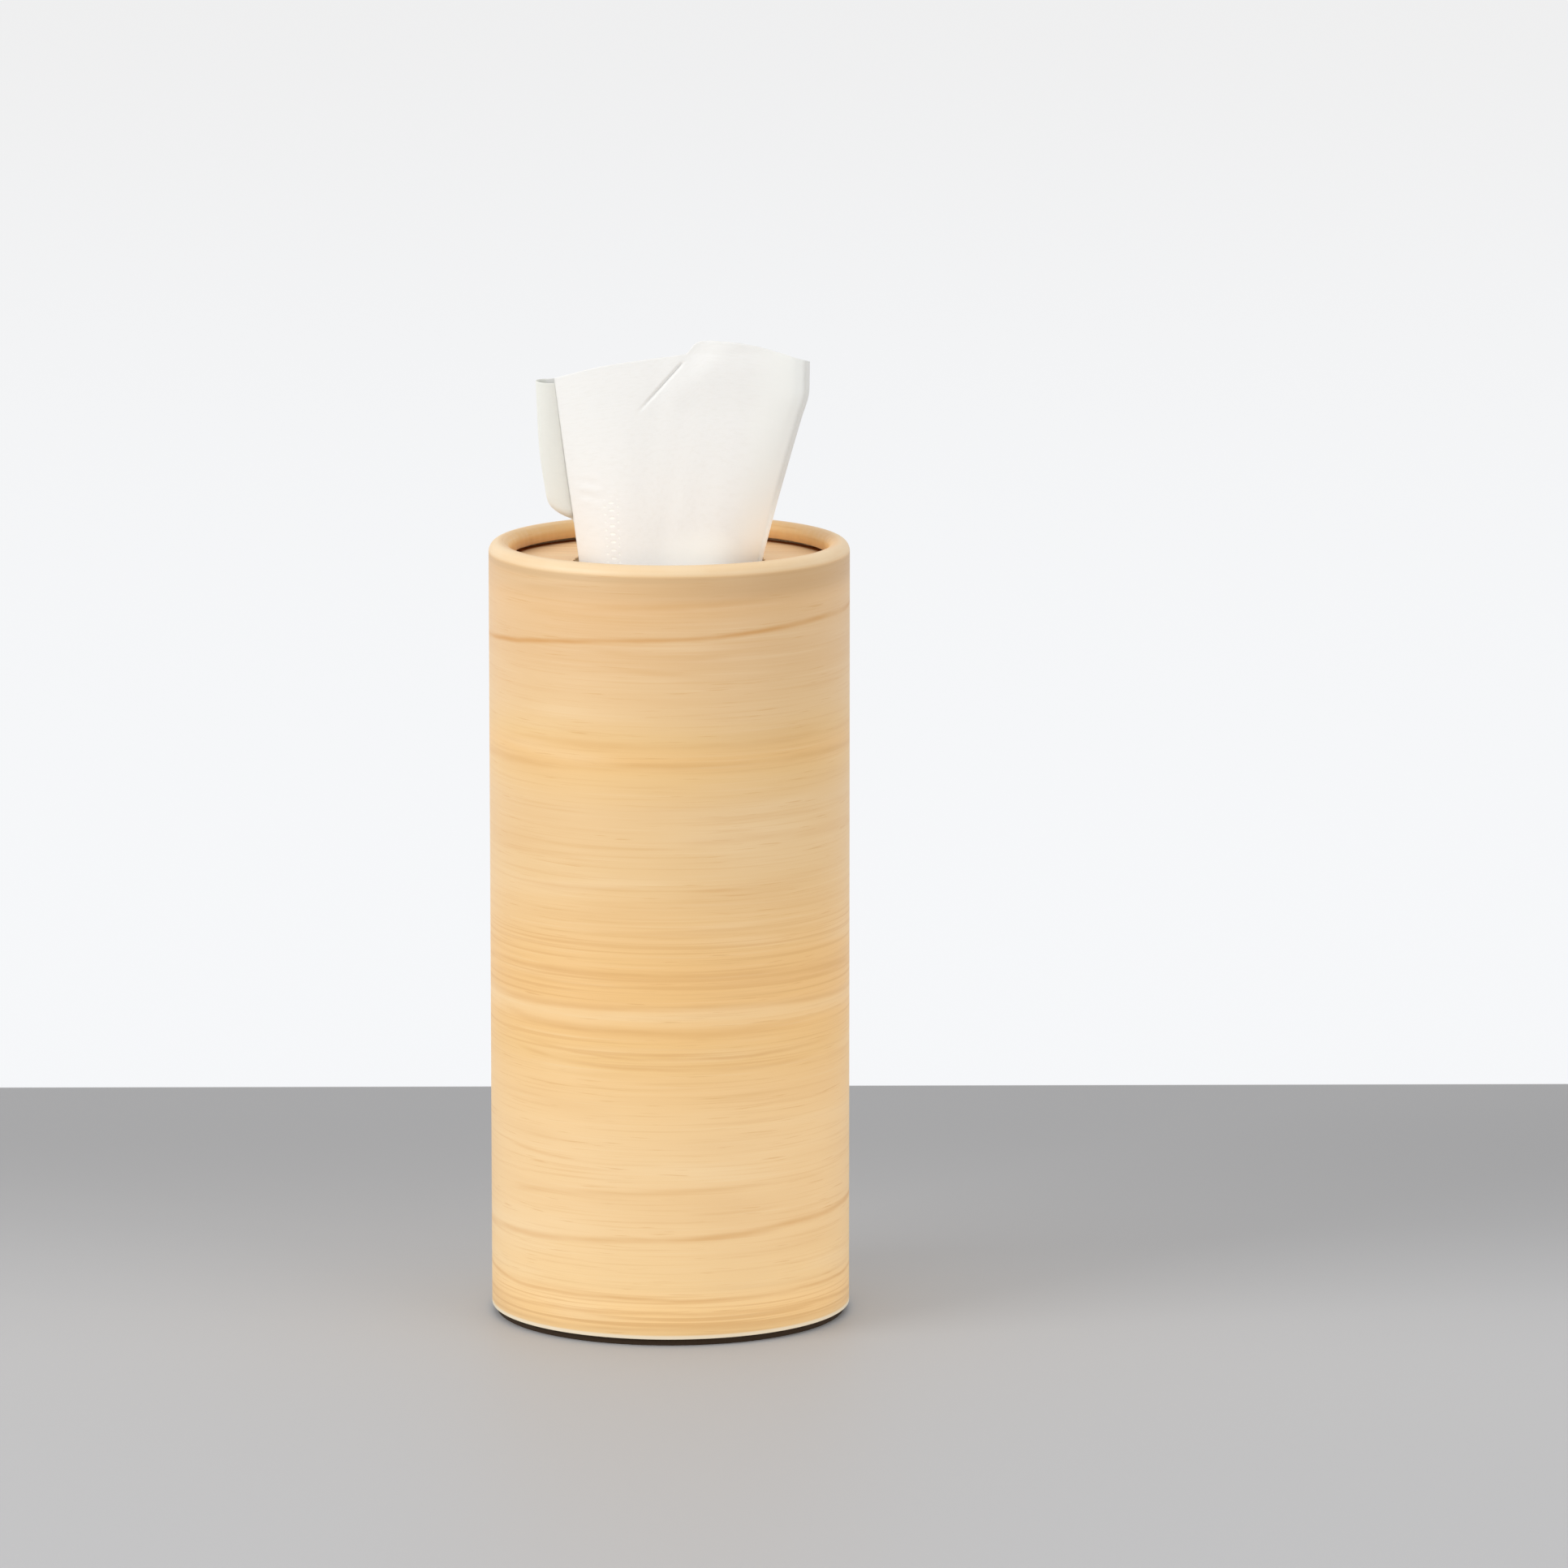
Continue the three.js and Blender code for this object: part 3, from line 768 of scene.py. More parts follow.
@dataclass(frozen=True)
class TissuePly(Finish):
    """Soft white tissue: creped, faintly mottled, bonded along a knurled band.

    Places are in millimetres across and up the flat sheet. A rolled share above 0 adds what only
    the standing tissue shows: painted shade on its fold and its rolled edge, and painted light on its right
    and low parts.
    """

    name: str = "tissue_ply"
    slot: Slot = Slot.TISSUE
    base: Colour = linear(237, 237, 235)
    shade: Colour = linear(231, 230, 226)
    # painted light: a brighter tone for parts of the standing tissue and for highlights on the knurl
    painted_light_colour: Colour = linear(248, 249, 245)
    bond: Span = (7.2, 11.7)
    bond_ease: float = 0.8
    bond_rise: Span = (74.0, 86.0)
    knurl_pitch: Span = (4.2, 3.7)
    knurl_highlight_share: float = 0.90
    rolled: float = 0.0
    roll_edge: Span = (116.6, 119.6)
    roll_shade: Colour = linear(223, 224, 214)
    fold: Span = (66.6, 74.0)
    fold_ease: Span = (1.2, 1.0)
    fold_rise: Span = (62.0, 90.0)
    fold_share: float = 0.8
    fold_shade: Colour = linear(222, 222, 219)
    painted_light_edge: Span = (56.0, 65.0)
    painted_light_low: Span = (68.0, 54.0)
    painted_light_across: Span = (12.0, 55.0)
    painted_light_least: float = 0.12

    def standing(self, shader: Shader, colour: object, across: object, up: object) -> Socket:
        """Adds the standing tissue's painted light on its right and low parts, and painted shade on its
        rolled edge and along its fold.

        Args:
            shader: The finish's node tree.
            colour: The tissue's colour.
            across: Way across the flat sheet, in millimetres.
            up: Way up the flat sheet, in millimetres.

        Returns:
            The new colour.
        """
        # painted light on the front panel's right part and low part
        across_low = shader.remap(across, *self.painted_light_across, self.painted_light_least, 1.0)
        low = shader.times(shader.remap(up, *self.painted_light_low), across_low)
        painted_light = shader.most(shader.remap(across, *self.painted_light_edge), low)
        fold_end = self.fold[1]
        painted_light = shader.times(painted_light, shader.remap(across, fold_end, fold_end - self.fold_ease[1]))
        colour = shader.blend(painted_light, colour, self.painted_light_colour)
        # painted shade on the rolled edge
        colour = shader.tinge(colour, self.roll_shade, across, *self.roll_edge, self.rolled)
        # painted shade along the fold at the right edge
        fold_edge_shade = shader.band(across, *self.fold, *self.fold_ease)
        fold_edge_shade = shader.times(fold_edge_shade, shader.remap(up, *self.fold_rise, 0.0, self.fold_share))
        return shader.blend(fold_edge_shade, colour, self.fold_shade)

    def paint(self, shader: Shader) -> bpy.types.Material:
        """Paints crepe, fibre clouds and the bonded band, with painted highlights on its knurl.

        Args:
            shader: The finish's empty node tree.

        Returns:
            The finished material.
        """
        flat, across, up = shader.chart()
        clouds = shader.grain(flat, (420.0, 420.0, 1.0), 4.0, 0.62)
        crepe = shader.grain(flat, (520.0, 3400.0, 1.0), 3.0, 0.55)
        colour = shader.tinge(self.base, self.shade, clouds, 0.42, 0.74, 0.40)
        colour = shader.tinge(colour, self.shade, crepe, 0.55, 0.80, 0.18)
        waves = [
            shader.math("SINE", shader.times(axis, FULL_TURN / pitch))
            for axis, pitch in zip((across, up), self.knurl_pitch)
        ]
        bond = shader.band(across, *self.bond, self.bond_ease, self.bond_ease)
        bond = shader.times(bond, shader.remap(up, *self.bond_rise, 1.0, 0.0))
        knurl = shader.times(shader.remap(shader.times(*waves), 0.30, 0.80), bond)
        # painted highlights on the knurl's dots
        colour = shader.blend(shader.times(knurl, self.knurl_highlight_share), colour, self.painted_light_colour)
        if self.rolled:
            colour = self.standing(shader, colour, across, up)
        soft = shader.math("MULTIPLY_ADD", clouds, 0.8, crepe)
        height = shader.math("MULTIPLY_ADD", knurl, -3.0, soft)
        return shader.close({
            "Base Color": colour,
            "Roughness": 0.92,
            "Normal": shader.relief(height, 0.00005, 0.40),
            "Specular IOR Level": 0.15,
            "Subsurface Weight": 0.06,
            "Subsurface Radius": (0.0012, 0.0011, 0.0010),
            "Subsurface Scale": 1.0,
            "Sheen Weight": 0.12,
            "Sheen Roughness": 0.7,
        })


WOOD_PRINT = WoodPrint()
STREAK_PRINT = StreakPrint()
BOARD = PaperBoard()
TISSUE = TissuePly()
ROLLED_TISSUE = TissuePly(name="tissue_ply_rolled", rolled=0.62)


def dressed(name: str, shape: bmesh.types.BMesh, finish: Finish, sharp: float = 35.0) -> bpy.types.Object:
    """Makes an object of a finished shape.

    Args:
        name: The piece's name.
        shape: Its mesh, which is used up.
        finish: What it is dressed in.
        sharp: Angle in degrees from which an edge stays sharp.

    Returns:
        The new object, at the origin.
    """
    mesh = bpy.data.meshes.new(name)
    shape.to_mesh(mesh)
    shape.free()
    mesh.polygons.foreach_set("use_smooth", [True] * len(mesh.polygons))
    mesh.set_sharp_from_angle(angle=math.radians(sharp))
    mesh.materials.append(finish.material())
    obj = bpy.data.objects.new(name, mesh)
    bpy.context.scene.collection.objects.link(obj)
    return obj


def seated(obj: bpy.types.Object, body: Body, *nodes: str) -> bpy.types.Object:
    """Lets a piece ride on a body in place of the nodes that it stands for.

    Args:
        obj: The piece.
        body: What it rides on.
        *nodes: The nodes that it stands for.

    Returns:
        The piece.
    """
    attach(obj, body.value)
    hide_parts(*nodes)
    return obj


def arc(centre: Span, radius: float, start: float, end: float, steps: int) -> Profile:
    """Points of an arc in a profile.

    Args:
        centre: Its centre, across and up.
        radius: Its radius.
        start: First angle in degrees, 0 outwards and 90 up.
        end: Last angle in degrees.
        steps: Number of steps.

    Returns:
        The points, ends included.
    """
    angles = [math.radians(mix(start, end, i / steps)) for i in range(steps + 1)]
    return [(centre[0] + radius * math.cos(a), centre[1] + radius * math.sin(a)) for a in angles]


def spun(profile: Profile, segments: int, closed: bool = True) -> bmesh.types.BMesh:
    """Turns a profile round the tube's axis.

    Args:
        profile: Points (radius, height) in millimetres.
        segments: Steps of the full turn.
        closed: Whether the last point joins the first.

    Returns:
        The turned mesh in metres, with its faces outwards.
    """
    shape = bmesh.new()
    points = [shape.verts.new((0.0, r * MM, z * MM)) for r, z in profile]
    following = points[1:] + points[:1] if closed else points[1:]
    edges = [shape.edges.new(pair) for pair in zip(points, following)]
    bmesh.ops.spin(shape, geom=points + edges, cent=(0, 0, 0), axis=(0, 0, 1),
                   angle=FULL_TURN, steps=segments, use_merge=True)
    bmesh.ops.remove_doubles(shape, verts=shape.verts, dist=0.002 * MM)
    bmesh.ops.recalc_face_normals(shape, faces=shape.faces)
    return shape


def raised(shape: bmesh.types.BMesh, thickness: float) -> None:
    """Raises a flat shape into a plate.

    Args:
        shape: The flat shape.
        thickness: The plate's thickness in millimetres.
    """
    top = bmesh.ops.extrude_face_region(shape, geom=shape.faces)["geom"]
    verts = [part for part in top if isinstance(part, bmesh.types.BMVert)]
    bmesh.ops.translate(shape, verts=verts, vec=(0.0, 0.0, thickness * MM))
    bmesh.ops.recalc_face_normals(shape, faces=shape.faces)


def eased(shape: bmesh.types.BMesh, keep: Callable[[bmesh.types.BMEdge], bool], width: float) -> None:
    """Rounds the sharp edges of a plate.

    Args:
        shape: The plate.
        keep: Tells which of its sharp edges are rounded.
        width: Width of the rounding in millimetres.
    """
    edges = [edge for edge in shape.edges if keep(edge) and edge.calc_face_angle(0.0) > 1.0]
    bmesh.ops.bevel(shape, geom=edges, offset=width * MM, segments=2, profile=0.5,
                    affect="EDGES", material=-1)


def sheet_of(place: Callable[[float, float], Vector], columns: int, rows: int,
             flat: Span) -> bmesh.types.BMesh:
    """Makes a sheet from a flat grid that a formula puts in its place.

    Args:
        place: Gives a point in millimetres from its shares across and along the sheet.
        columns: Steps across.
        rows: Steps along.
        flat: Width and length of the flat sheet in millimetres, kept as its map.

    Returns:
        The sheet in metres.
    """
    shape = bmesh.new()
    bmesh.ops.create_grid(shape, x_segments=columns, y_segments=rows, size=0.5)
    chart = shape.loops.layers.uv.new(PRINT_MAP)
    for face in shape.faces:
        for loop in face.loops:
            share = loop.vert.co
            loop[chart].uv = ((share.x + 0.5) * flat[0] * MM, (share.y + 0.5) * flat[1] * MM)
    for vert in shape.verts:
        vert.co = place(vert.co.x + 0.5, vert.co.y + 0.5) * MM
    return shape


def thicken(obj: bpy.types.Object, thickness: float) -> None:
    """Gives a sheet its thickness, half to each side.

    Args:
        obj: The sheet.
        thickness: Its thickness in millimetres.
    """
    ply = obj.modifiers.new("ply", "SOLIDIFY")
    ply.thickness = thickness * MM
    ply.offset = 0.0


@dataclass
class PaperTube:
    """The wound wall: printed wrap over a board core that is rolled in at the top, and an inner sleeve."""

    radius: float = 37.5
    height: float = 163.0
    wrap: float = 0.3
    glue: float = 0.05
    core_wall: float = 1.2
    sleeve_outer: float = 35.85
    sleeve_inner: float = 35.05
    sleeve_low: float = 5.1
    sleeve_high: float = 157.0
    ease: float = 0.15
    curl: float = 2.25
    leg_end: float = 159.55
    foot_reveal: float = 1.5
    foot_ease: float = 0.12
    foot_inset: float = 0.7
    cut_ease: Span = (0.08, 0.1)
    step_ease: Span = (0.1, 0.05)
    wrap_rows: int = 24
    core_rows: int = 6
    curl_steps: tuple[int, int] = (18, 12)
    wrinkle: float = 0.11
    wrinkle_start: float = 80.0
    wrinkle_rise: float = 60.0
    wrinkle_end: float = 250.0
    lap: float = 0.12
    lap_angle: float = 0.24
    lap_rise: float = 0.07
    segments: int = 480
    board_segments: int = 192

    def curl_centre(self) -> Span:
        """Centre of the rolled rim, across and up."""
        return self.radius - self.curl, self.height - self.curl

    def ply(self, depth: float, thickness: float, foot: Profile, rows: int) -> Profile:
        """Profile of one ply of the wall.

        Args:
            depth: How far its outside lies under the tube's surface.
            thickness: The ply's thickness.
            foot: Points of its foot, from the inside out.
            rows: Steps up the wall.

        Returns:
            The closed profile.
        """
        centre = self.curl_centre()
        outer = self.curl - depth
        inner = outer - thickness
        low = foot[-1][1]
        wall = [(self.radius - depth, mix(low, centre[1], i / rows)) for i in range(1, rows)]
        over = arc(centre, outer, 0.0, 180.0, self.curl_steps[0])
        leg = [(over[-1][0], self.leg_end), (over[-1][0] + thickness, self.leg_end)]
        return [*foot, *wall, *over, *leg, *arc(centre, inner, 180.0, 0.0, self.curl_steps[1])]

    def run(self, r: float, z: float) -> float:
        """Way up the print from the foot, over the rim and down its inner side.

        Args:
            r: Way from the axis in millimetres.
            z: Height in millimetres.

        Returns:
            The way in millimetres.
        """
        middle, base = self.curl_centre()
        across, up = r - middle, z - base
        if up <= 0.0 < across:
            return z
        if up < 0.0:
            return base + math.pi * self.curl - up
        return base + self.curl * math.atan2(up, across)

    def settle(self, vert: bmesh.types.BMVert) -> None:
        """Moves one point of the wrap for the lap seam and the gathers inside the rim.

        Args:
            vert: A point of the turned wrap.
        """
        angle = around(vert.co.x, vert.co.y)
        r, z = math.hypot(vert.co.x, vert.co.y) / MM, vert.co.z / MM
        centre = self.curl_centre()
        lift = 0.0
        if r > centre[0] + 0.5 * self.curl:
            lift = self.lap * smooth((angle - math.pi + self.lap_angle) / self.lap_rise)
        over = math.degrees(math.atan2(z - centre[1], r - centre[0])) % 360.0
        inside = smooth((over - self.wrinkle_start) / self.wrinkle_rise) if over < self.wrinkle_end else 0.0
        waves = math.sin(47 * angle + 1.7 * math.sin(5 * angle))
        waves += 0.7 * math.sin(83 * angle + 2.1 * math.sin(3 * angle))
        lift += self.wrinkle * inside * 0.5 * (waves - 1.2)
        outwards = Vector((vert.co.x, vert.co.y, 0.0)).normalized()
        vert.co += outwards * (lift * MM if inside == 0.0 else -lift * MM)

    def chart(self, shape: bmesh.types.BMesh) -> None:
        """Lays the print's map on the wrap, cut at the lap seam at the back.

        Args:
            shape: The turned wrap.
        """
        layer = shape.loops.layers.uv.new(PRINT_MAP)
        for face in shape.faces:
            middle = face.calc_center_median()
            centre = around(middle.x, middle.y)
            for loop in face.loops:
                co = loop.vert.co
                angle = around(co.x, co.y)
                angle += FULL_TURN * round((centre - angle) / FULL_TURN)
                run = self.run(math.hypot(co.x, co.y) / MM, co.z / MM)
                loop[layer].uv = (angle * self.radius * MM, run * MM)

    def printed_wrap(self) -> bpy.types.Object:
        """Makes the printed paper, from the foot over the rim.

        Returns:
            The wrap.
        """
        low = self.foot_reveal
        ease_in, ease_up = self.cut_ease
        foot = [(self.radius - self.wrap, low), (self.radius - ease_in, low), (self.radius, low + ease_up)]
        shape = spun(self.ply(0.0, self.wrap, foot, self.wrap_rows), self.segments)
        self.chart(shape)
        for vert in shape.verts:
            self.settle(vert)
        return seated(dressed("wrap_paper", shape, WOOD_PRINT, 50.0), Body.TUBE, "printed_wrap")

    def core(self) -> bpy.types.Object:
        """Makes the board wall under the wrap; its inner plies carry the box.

        Returns:
            The wall.
        """
        depth = self.wrap + self.glue
        outer = self.radius - depth
        inner = outer - self.core_wall
        back = outer - self.foot_inset
        foot = [
            (inner, self.ease), (inner + self.ease, 0.0),
            (back - self.foot_ease, 0.0), (back, self.foot_ease), (back, self.foot_reveal),
            (outer - self.step_ease[0], self.foot_reveal + self.step_ease[1]),
            (outer, self.foot_reveal + self.ease),
        ]
        shape = spun(self.ply(depth, self.core_wall, foot, self.core_rows), self.board_segments)
        return seated(dressed("core_board", shape, BOARD), Body.TUBE, "tube_core")

    def sleeve(self) -> bpy.types.Object:
        """Makes the shorter inner tube that the top disc seats on.

        Returns:
            The sleeve.
        """
        profile = [
            (self.sleeve_inner, self.sleeve_low + self.ease),
            (self.sleeve_inner + self.ease, self.sleeve_low),
            (self.sleeve_outer, self.sleeve_low),
            (self.sleeve_outer, self.sleeve_high),
            (self.sleeve_inner + self.ease, self.sleeve_high),
            (self.sleeve_inner, self.sleeve_high - self.ease),
        ]
        shape = spun(profile, self.board_segments)
        return seated(dressed("sleeve_board", shape, BOARD), Body.TUBE, "inner_sleeve")

    def build(self) -> list[bpy.types.Object]:
        """Builds the wall's three plies."""
        return [self.printed_wrap(), self.core(), self.sleeve()]


@dataclass
class Perforation:
    """Outline of the round opening: a crease at the back, a plain cut in front, torn bridges at the sides."""

    radius: float
    crease: float
    bridge: float
    pitch: float = 7.2
    bridge_angle: float = 2.6
    torn_from: float = -36.0
    torn_to: float = 34.0

    def nub(self, angle: float) -> float:
        """How far a torn bridge stands out; left and right match in place but not in length.

        Args:
            angle: Angle in degrees, 0 to the right and 90 to the back.

        Returns:
            The way outwards in millimetres.
        """
        side = math.degrees(math.asin(math.sin(math.radians(angle))))
        if not self.torn_from < side < self.torn_to:
            return 0.0
        step = round((side - self.torn_from) / self.pitch)
        away = abs(side - self.torn_from - step * self.pitch) / self.bridge_angle
        ragged = 0.75 + 0.25 * math.sin(step * 2.4 + math.copysign(1.0, math.cos(math.radians(angle))))
        return self.bridge * ragged * smooth(1.3 - 1.3 * away)

    def point(self, angle: float) -> Vector:
        """A point of the outline.

        Args:
            angle: Angle in degrees, 0 to the right and 90 to the back.

        Returns:
            The point in millimetres.
        """
        radians = math.radians(angle)
        reach = self.radius + self.nub(angle)
        if reach * math.sin(radians) > self.crease:
            reach = self.crease / math.sin(radians)
        return Vector((reach * math.cos(radians), reach * math.sin(radians), 0.0))

    def cut(self, verts: Iterable[bmesh.types.BMVert], height: float) -> None:
        """Moves the points of a circle onto the outline.

        Args:
            verts: The circle's points.
            height: Where the outline lies, in millimetres.
        """
        for vert in verts:
            vert.co = self.point(math.degrees(math.atan2(vert.co.y, vert.co.x))) * MM
            vert.co.z = height * MM


@dataclass
class DiscLayers:
    """Lower and upper side of the top disc's two layers, which the flap was cut from."""

    board: Span = (157.1, 158.3)
    facing: Span = (158.35, 158.6)
    segments: int = 480


@dataclass
class TopDisc(DiscLayers):
    """The recessed top disc: board with a printed facing, both with the round mouth."""

    radius: float = 35.85
    mouth: float = 20.0
    crease: float = 13.5
    bridge: float = 0.34

    def plate(self, low: float, high: float, ease: float) -> bmesh.types.BMesh:
        """Makes one layer of the disc with its mouth.

        Args:
            low: Its underside.
            high: Its upper side.
            ease: How much its upper edges are rounded.

        Returns:
            The layer in metres.
        """
        shape = bmesh.new()
        rim = bmesh.ops.create_circle(shape, segments=self.segments, radius=self.radius * MM)["verts"]
        lip = bmesh.ops.create_circle(shape, segments=self.segments, radius=self.mouth * MM)["verts"]
        Perforation(self.mouth, self.crease, -self.bridge).cut(lip, low)
        for vert in rim:
            vert.co.z = low * MM
        bmesh.ops.bridge_loops(shape, edges=shape.edges)
        raised(shape, high - low)
        eased(shape, lambda edge: all(v.co.z > (high - 0.01) * MM for v in edge.verts), ease)
        return shape

    def build(self) -> list[bpy.types.Object]:
        """Builds the board and its facing.

        Returns:
            Both layers.
        """
        board = dressed("disc_board", self.plate(*self.board, 0.05), BOARD)
        facing = dressed("disc_print", self.plate(*self.facing, 0.08), STREAK_PRINT)
        return [seated(board, Body.TUBE, "top_disc_board"), seated(facing, Body.TUBE, "top_disc_facing")]


@dataclass
class OpeningFlap(DiscLayers):
    """The round flap, pushed in and hanging from its crease at the back of the mouth."""

    radius: float = 19.7
    edge: float = 13.2
    hinge: Point = (0.0, 13.5, 157.1)
    bridge: float = 0.14
    bow: float = 0.25
    bow_start: float = 8.0
    insets: Span = (1.2, 5.0)
    ease: float = 0.05
    crease_half: float = 14.4
    crease_length: float = 2.4

    def plate(self, low: float, high: float) -> bmesh.types.BMesh:
        """Makes one layer of the flap flat in the mouth, then lets it hang.

        Args:
            low: Its underside while closed.
            high: Its printed side while closed.

        Returns:
            The layer in metres, hanging.
        """
        shape = bmesh.new()
        bmesh.ops.create_circle(shape, cap_ends=True, segments=self.segments, radius=self.radius * MM)
        Perforation(self.radius, self.edge, self.bridge).cut(shape.verts, low)
        for inset in self.insets:
            middle = [face for face in shape.faces if len(face.verts) > 4]
            bmesh.ops.inset_region(shape, faces=middle, thickness=inset * MM)
        raised(shape, high - low)
        eased(shape, lambda edge: abs(edge.verts[0].co.z - edge.verts[1].co.z) < 0.01 * MM, self.ease)
        for vert in shape.verts:
            away = math.hypot(vert.co.x, vert.co.y) / (self.radius * MM)
            ahead = smooth((self.edge * MM - vert.co.y) / (self.bow_start * MM))
            vert.co.z -= self.bow * MM * (1.0 - away * away) * ahead
        turn = Matrix.Rotation(math.radians(90.0), 3, "X")
        bmesh.ops.rotate(shape, verts=shape.verts, cent=Vector(self.hinge) * MM, matrix=turn)
        return shape

    def crease(self) -> bpy.types.Object:
        """Makes the uncut paper at the back of the mouth, bent from the disc's facing to the flap's.

        Returns:
            The paper hinge, in one fixed bend to the hanging flap.
        """
        paper = self.facing[1] - self.facing[0]
        back = self.hinge[1]
        low = self.hinge[2] - (back - self.edge)
        middle = self.facing[0] + 0.5 * paper
        deep, high = middle - self.hinge[2], middle - low

        def place(s: float, t: float) -> Vector:
            """Puts one point of the bend in its place.

            Args:
                s: Share across the strip.
                t: Share along, from the disc's facing to the flap's.

            Returns:
                The point in millimetres.
            """
            turn = 0.5 * math.pi * t
            x = mix(-self.crease_half, self.crease_half, s)
            return Vector((x, back - deep * math.sin(turn), low + high * math.cos(turn)))

        shape = sheet_of(place, 24, 10, (2.0 * self.crease_half, self.crease_length))
        strip = dressed("flap_crease", shape, STREAK_PRINT, SHEET_SHARP)
        thicken(strip, 0.9 * paper)
        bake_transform(strip)
        return strip

    def build(self) -> list[bpy.types.Object]:
        """Builds the flap's board, its facing and the paper hinge.

        Returns:
            The three pieces.
        """
        board = dressed("flap_board_plate", self.plate(*self.board), BOARD)
        facing = dressed("flap_print", self.plate(*self.facing), STREAK_PRINT)
        made = [seated(board, Body.FLAP, "flap_board"), seated(facing, Body.FLAP, "flap_facing")]
        return [*made, self.crease()]


@dataclass
class BottomCup:
    """The pressed board end, recessed in the foot, with its skirt turned down."""

    outer: float = 35.85
    board: float = 1.0
    top: float = 5.0
    foot: float = 0.3
    corner: float = 0.8
    fillet: float = 0.35
    ease: float = 0.2
    rings: Span = (12.0, 24.0)
    segments: int = 192

    def build(self) -> list[bpy.types.Object]:
        """Builds the cup.

        Returns:
            The cup alone.
        """
        inner = self.outer - self.board
        under = self.top - self.board
        ends = (0.0, *self.rings)
        profile = [
            *((ring, self.top) for ring in ends),
            *arc((self.outer - self.corner, self.top - self.corner), self.corner, 90.0, 0.0, 6),
            (self.outer, self.foot + self.ease), (self.outer - self.ease, self.foot),
            (inner + self.ease, self.foot), (inner, self.foot + self.ease),
            *arc((inner - self.fillet, under - self.fillet), self.fillet, 0.0, 90.0, 5),
            *((ring, under) for ring in reversed(ends)),
        ]
        cup = dressed("cup_board", spun(profile, self.segments, closed=False), BOARD)
        return [seated(cup, Body.TUBE, "bottom_cup")]


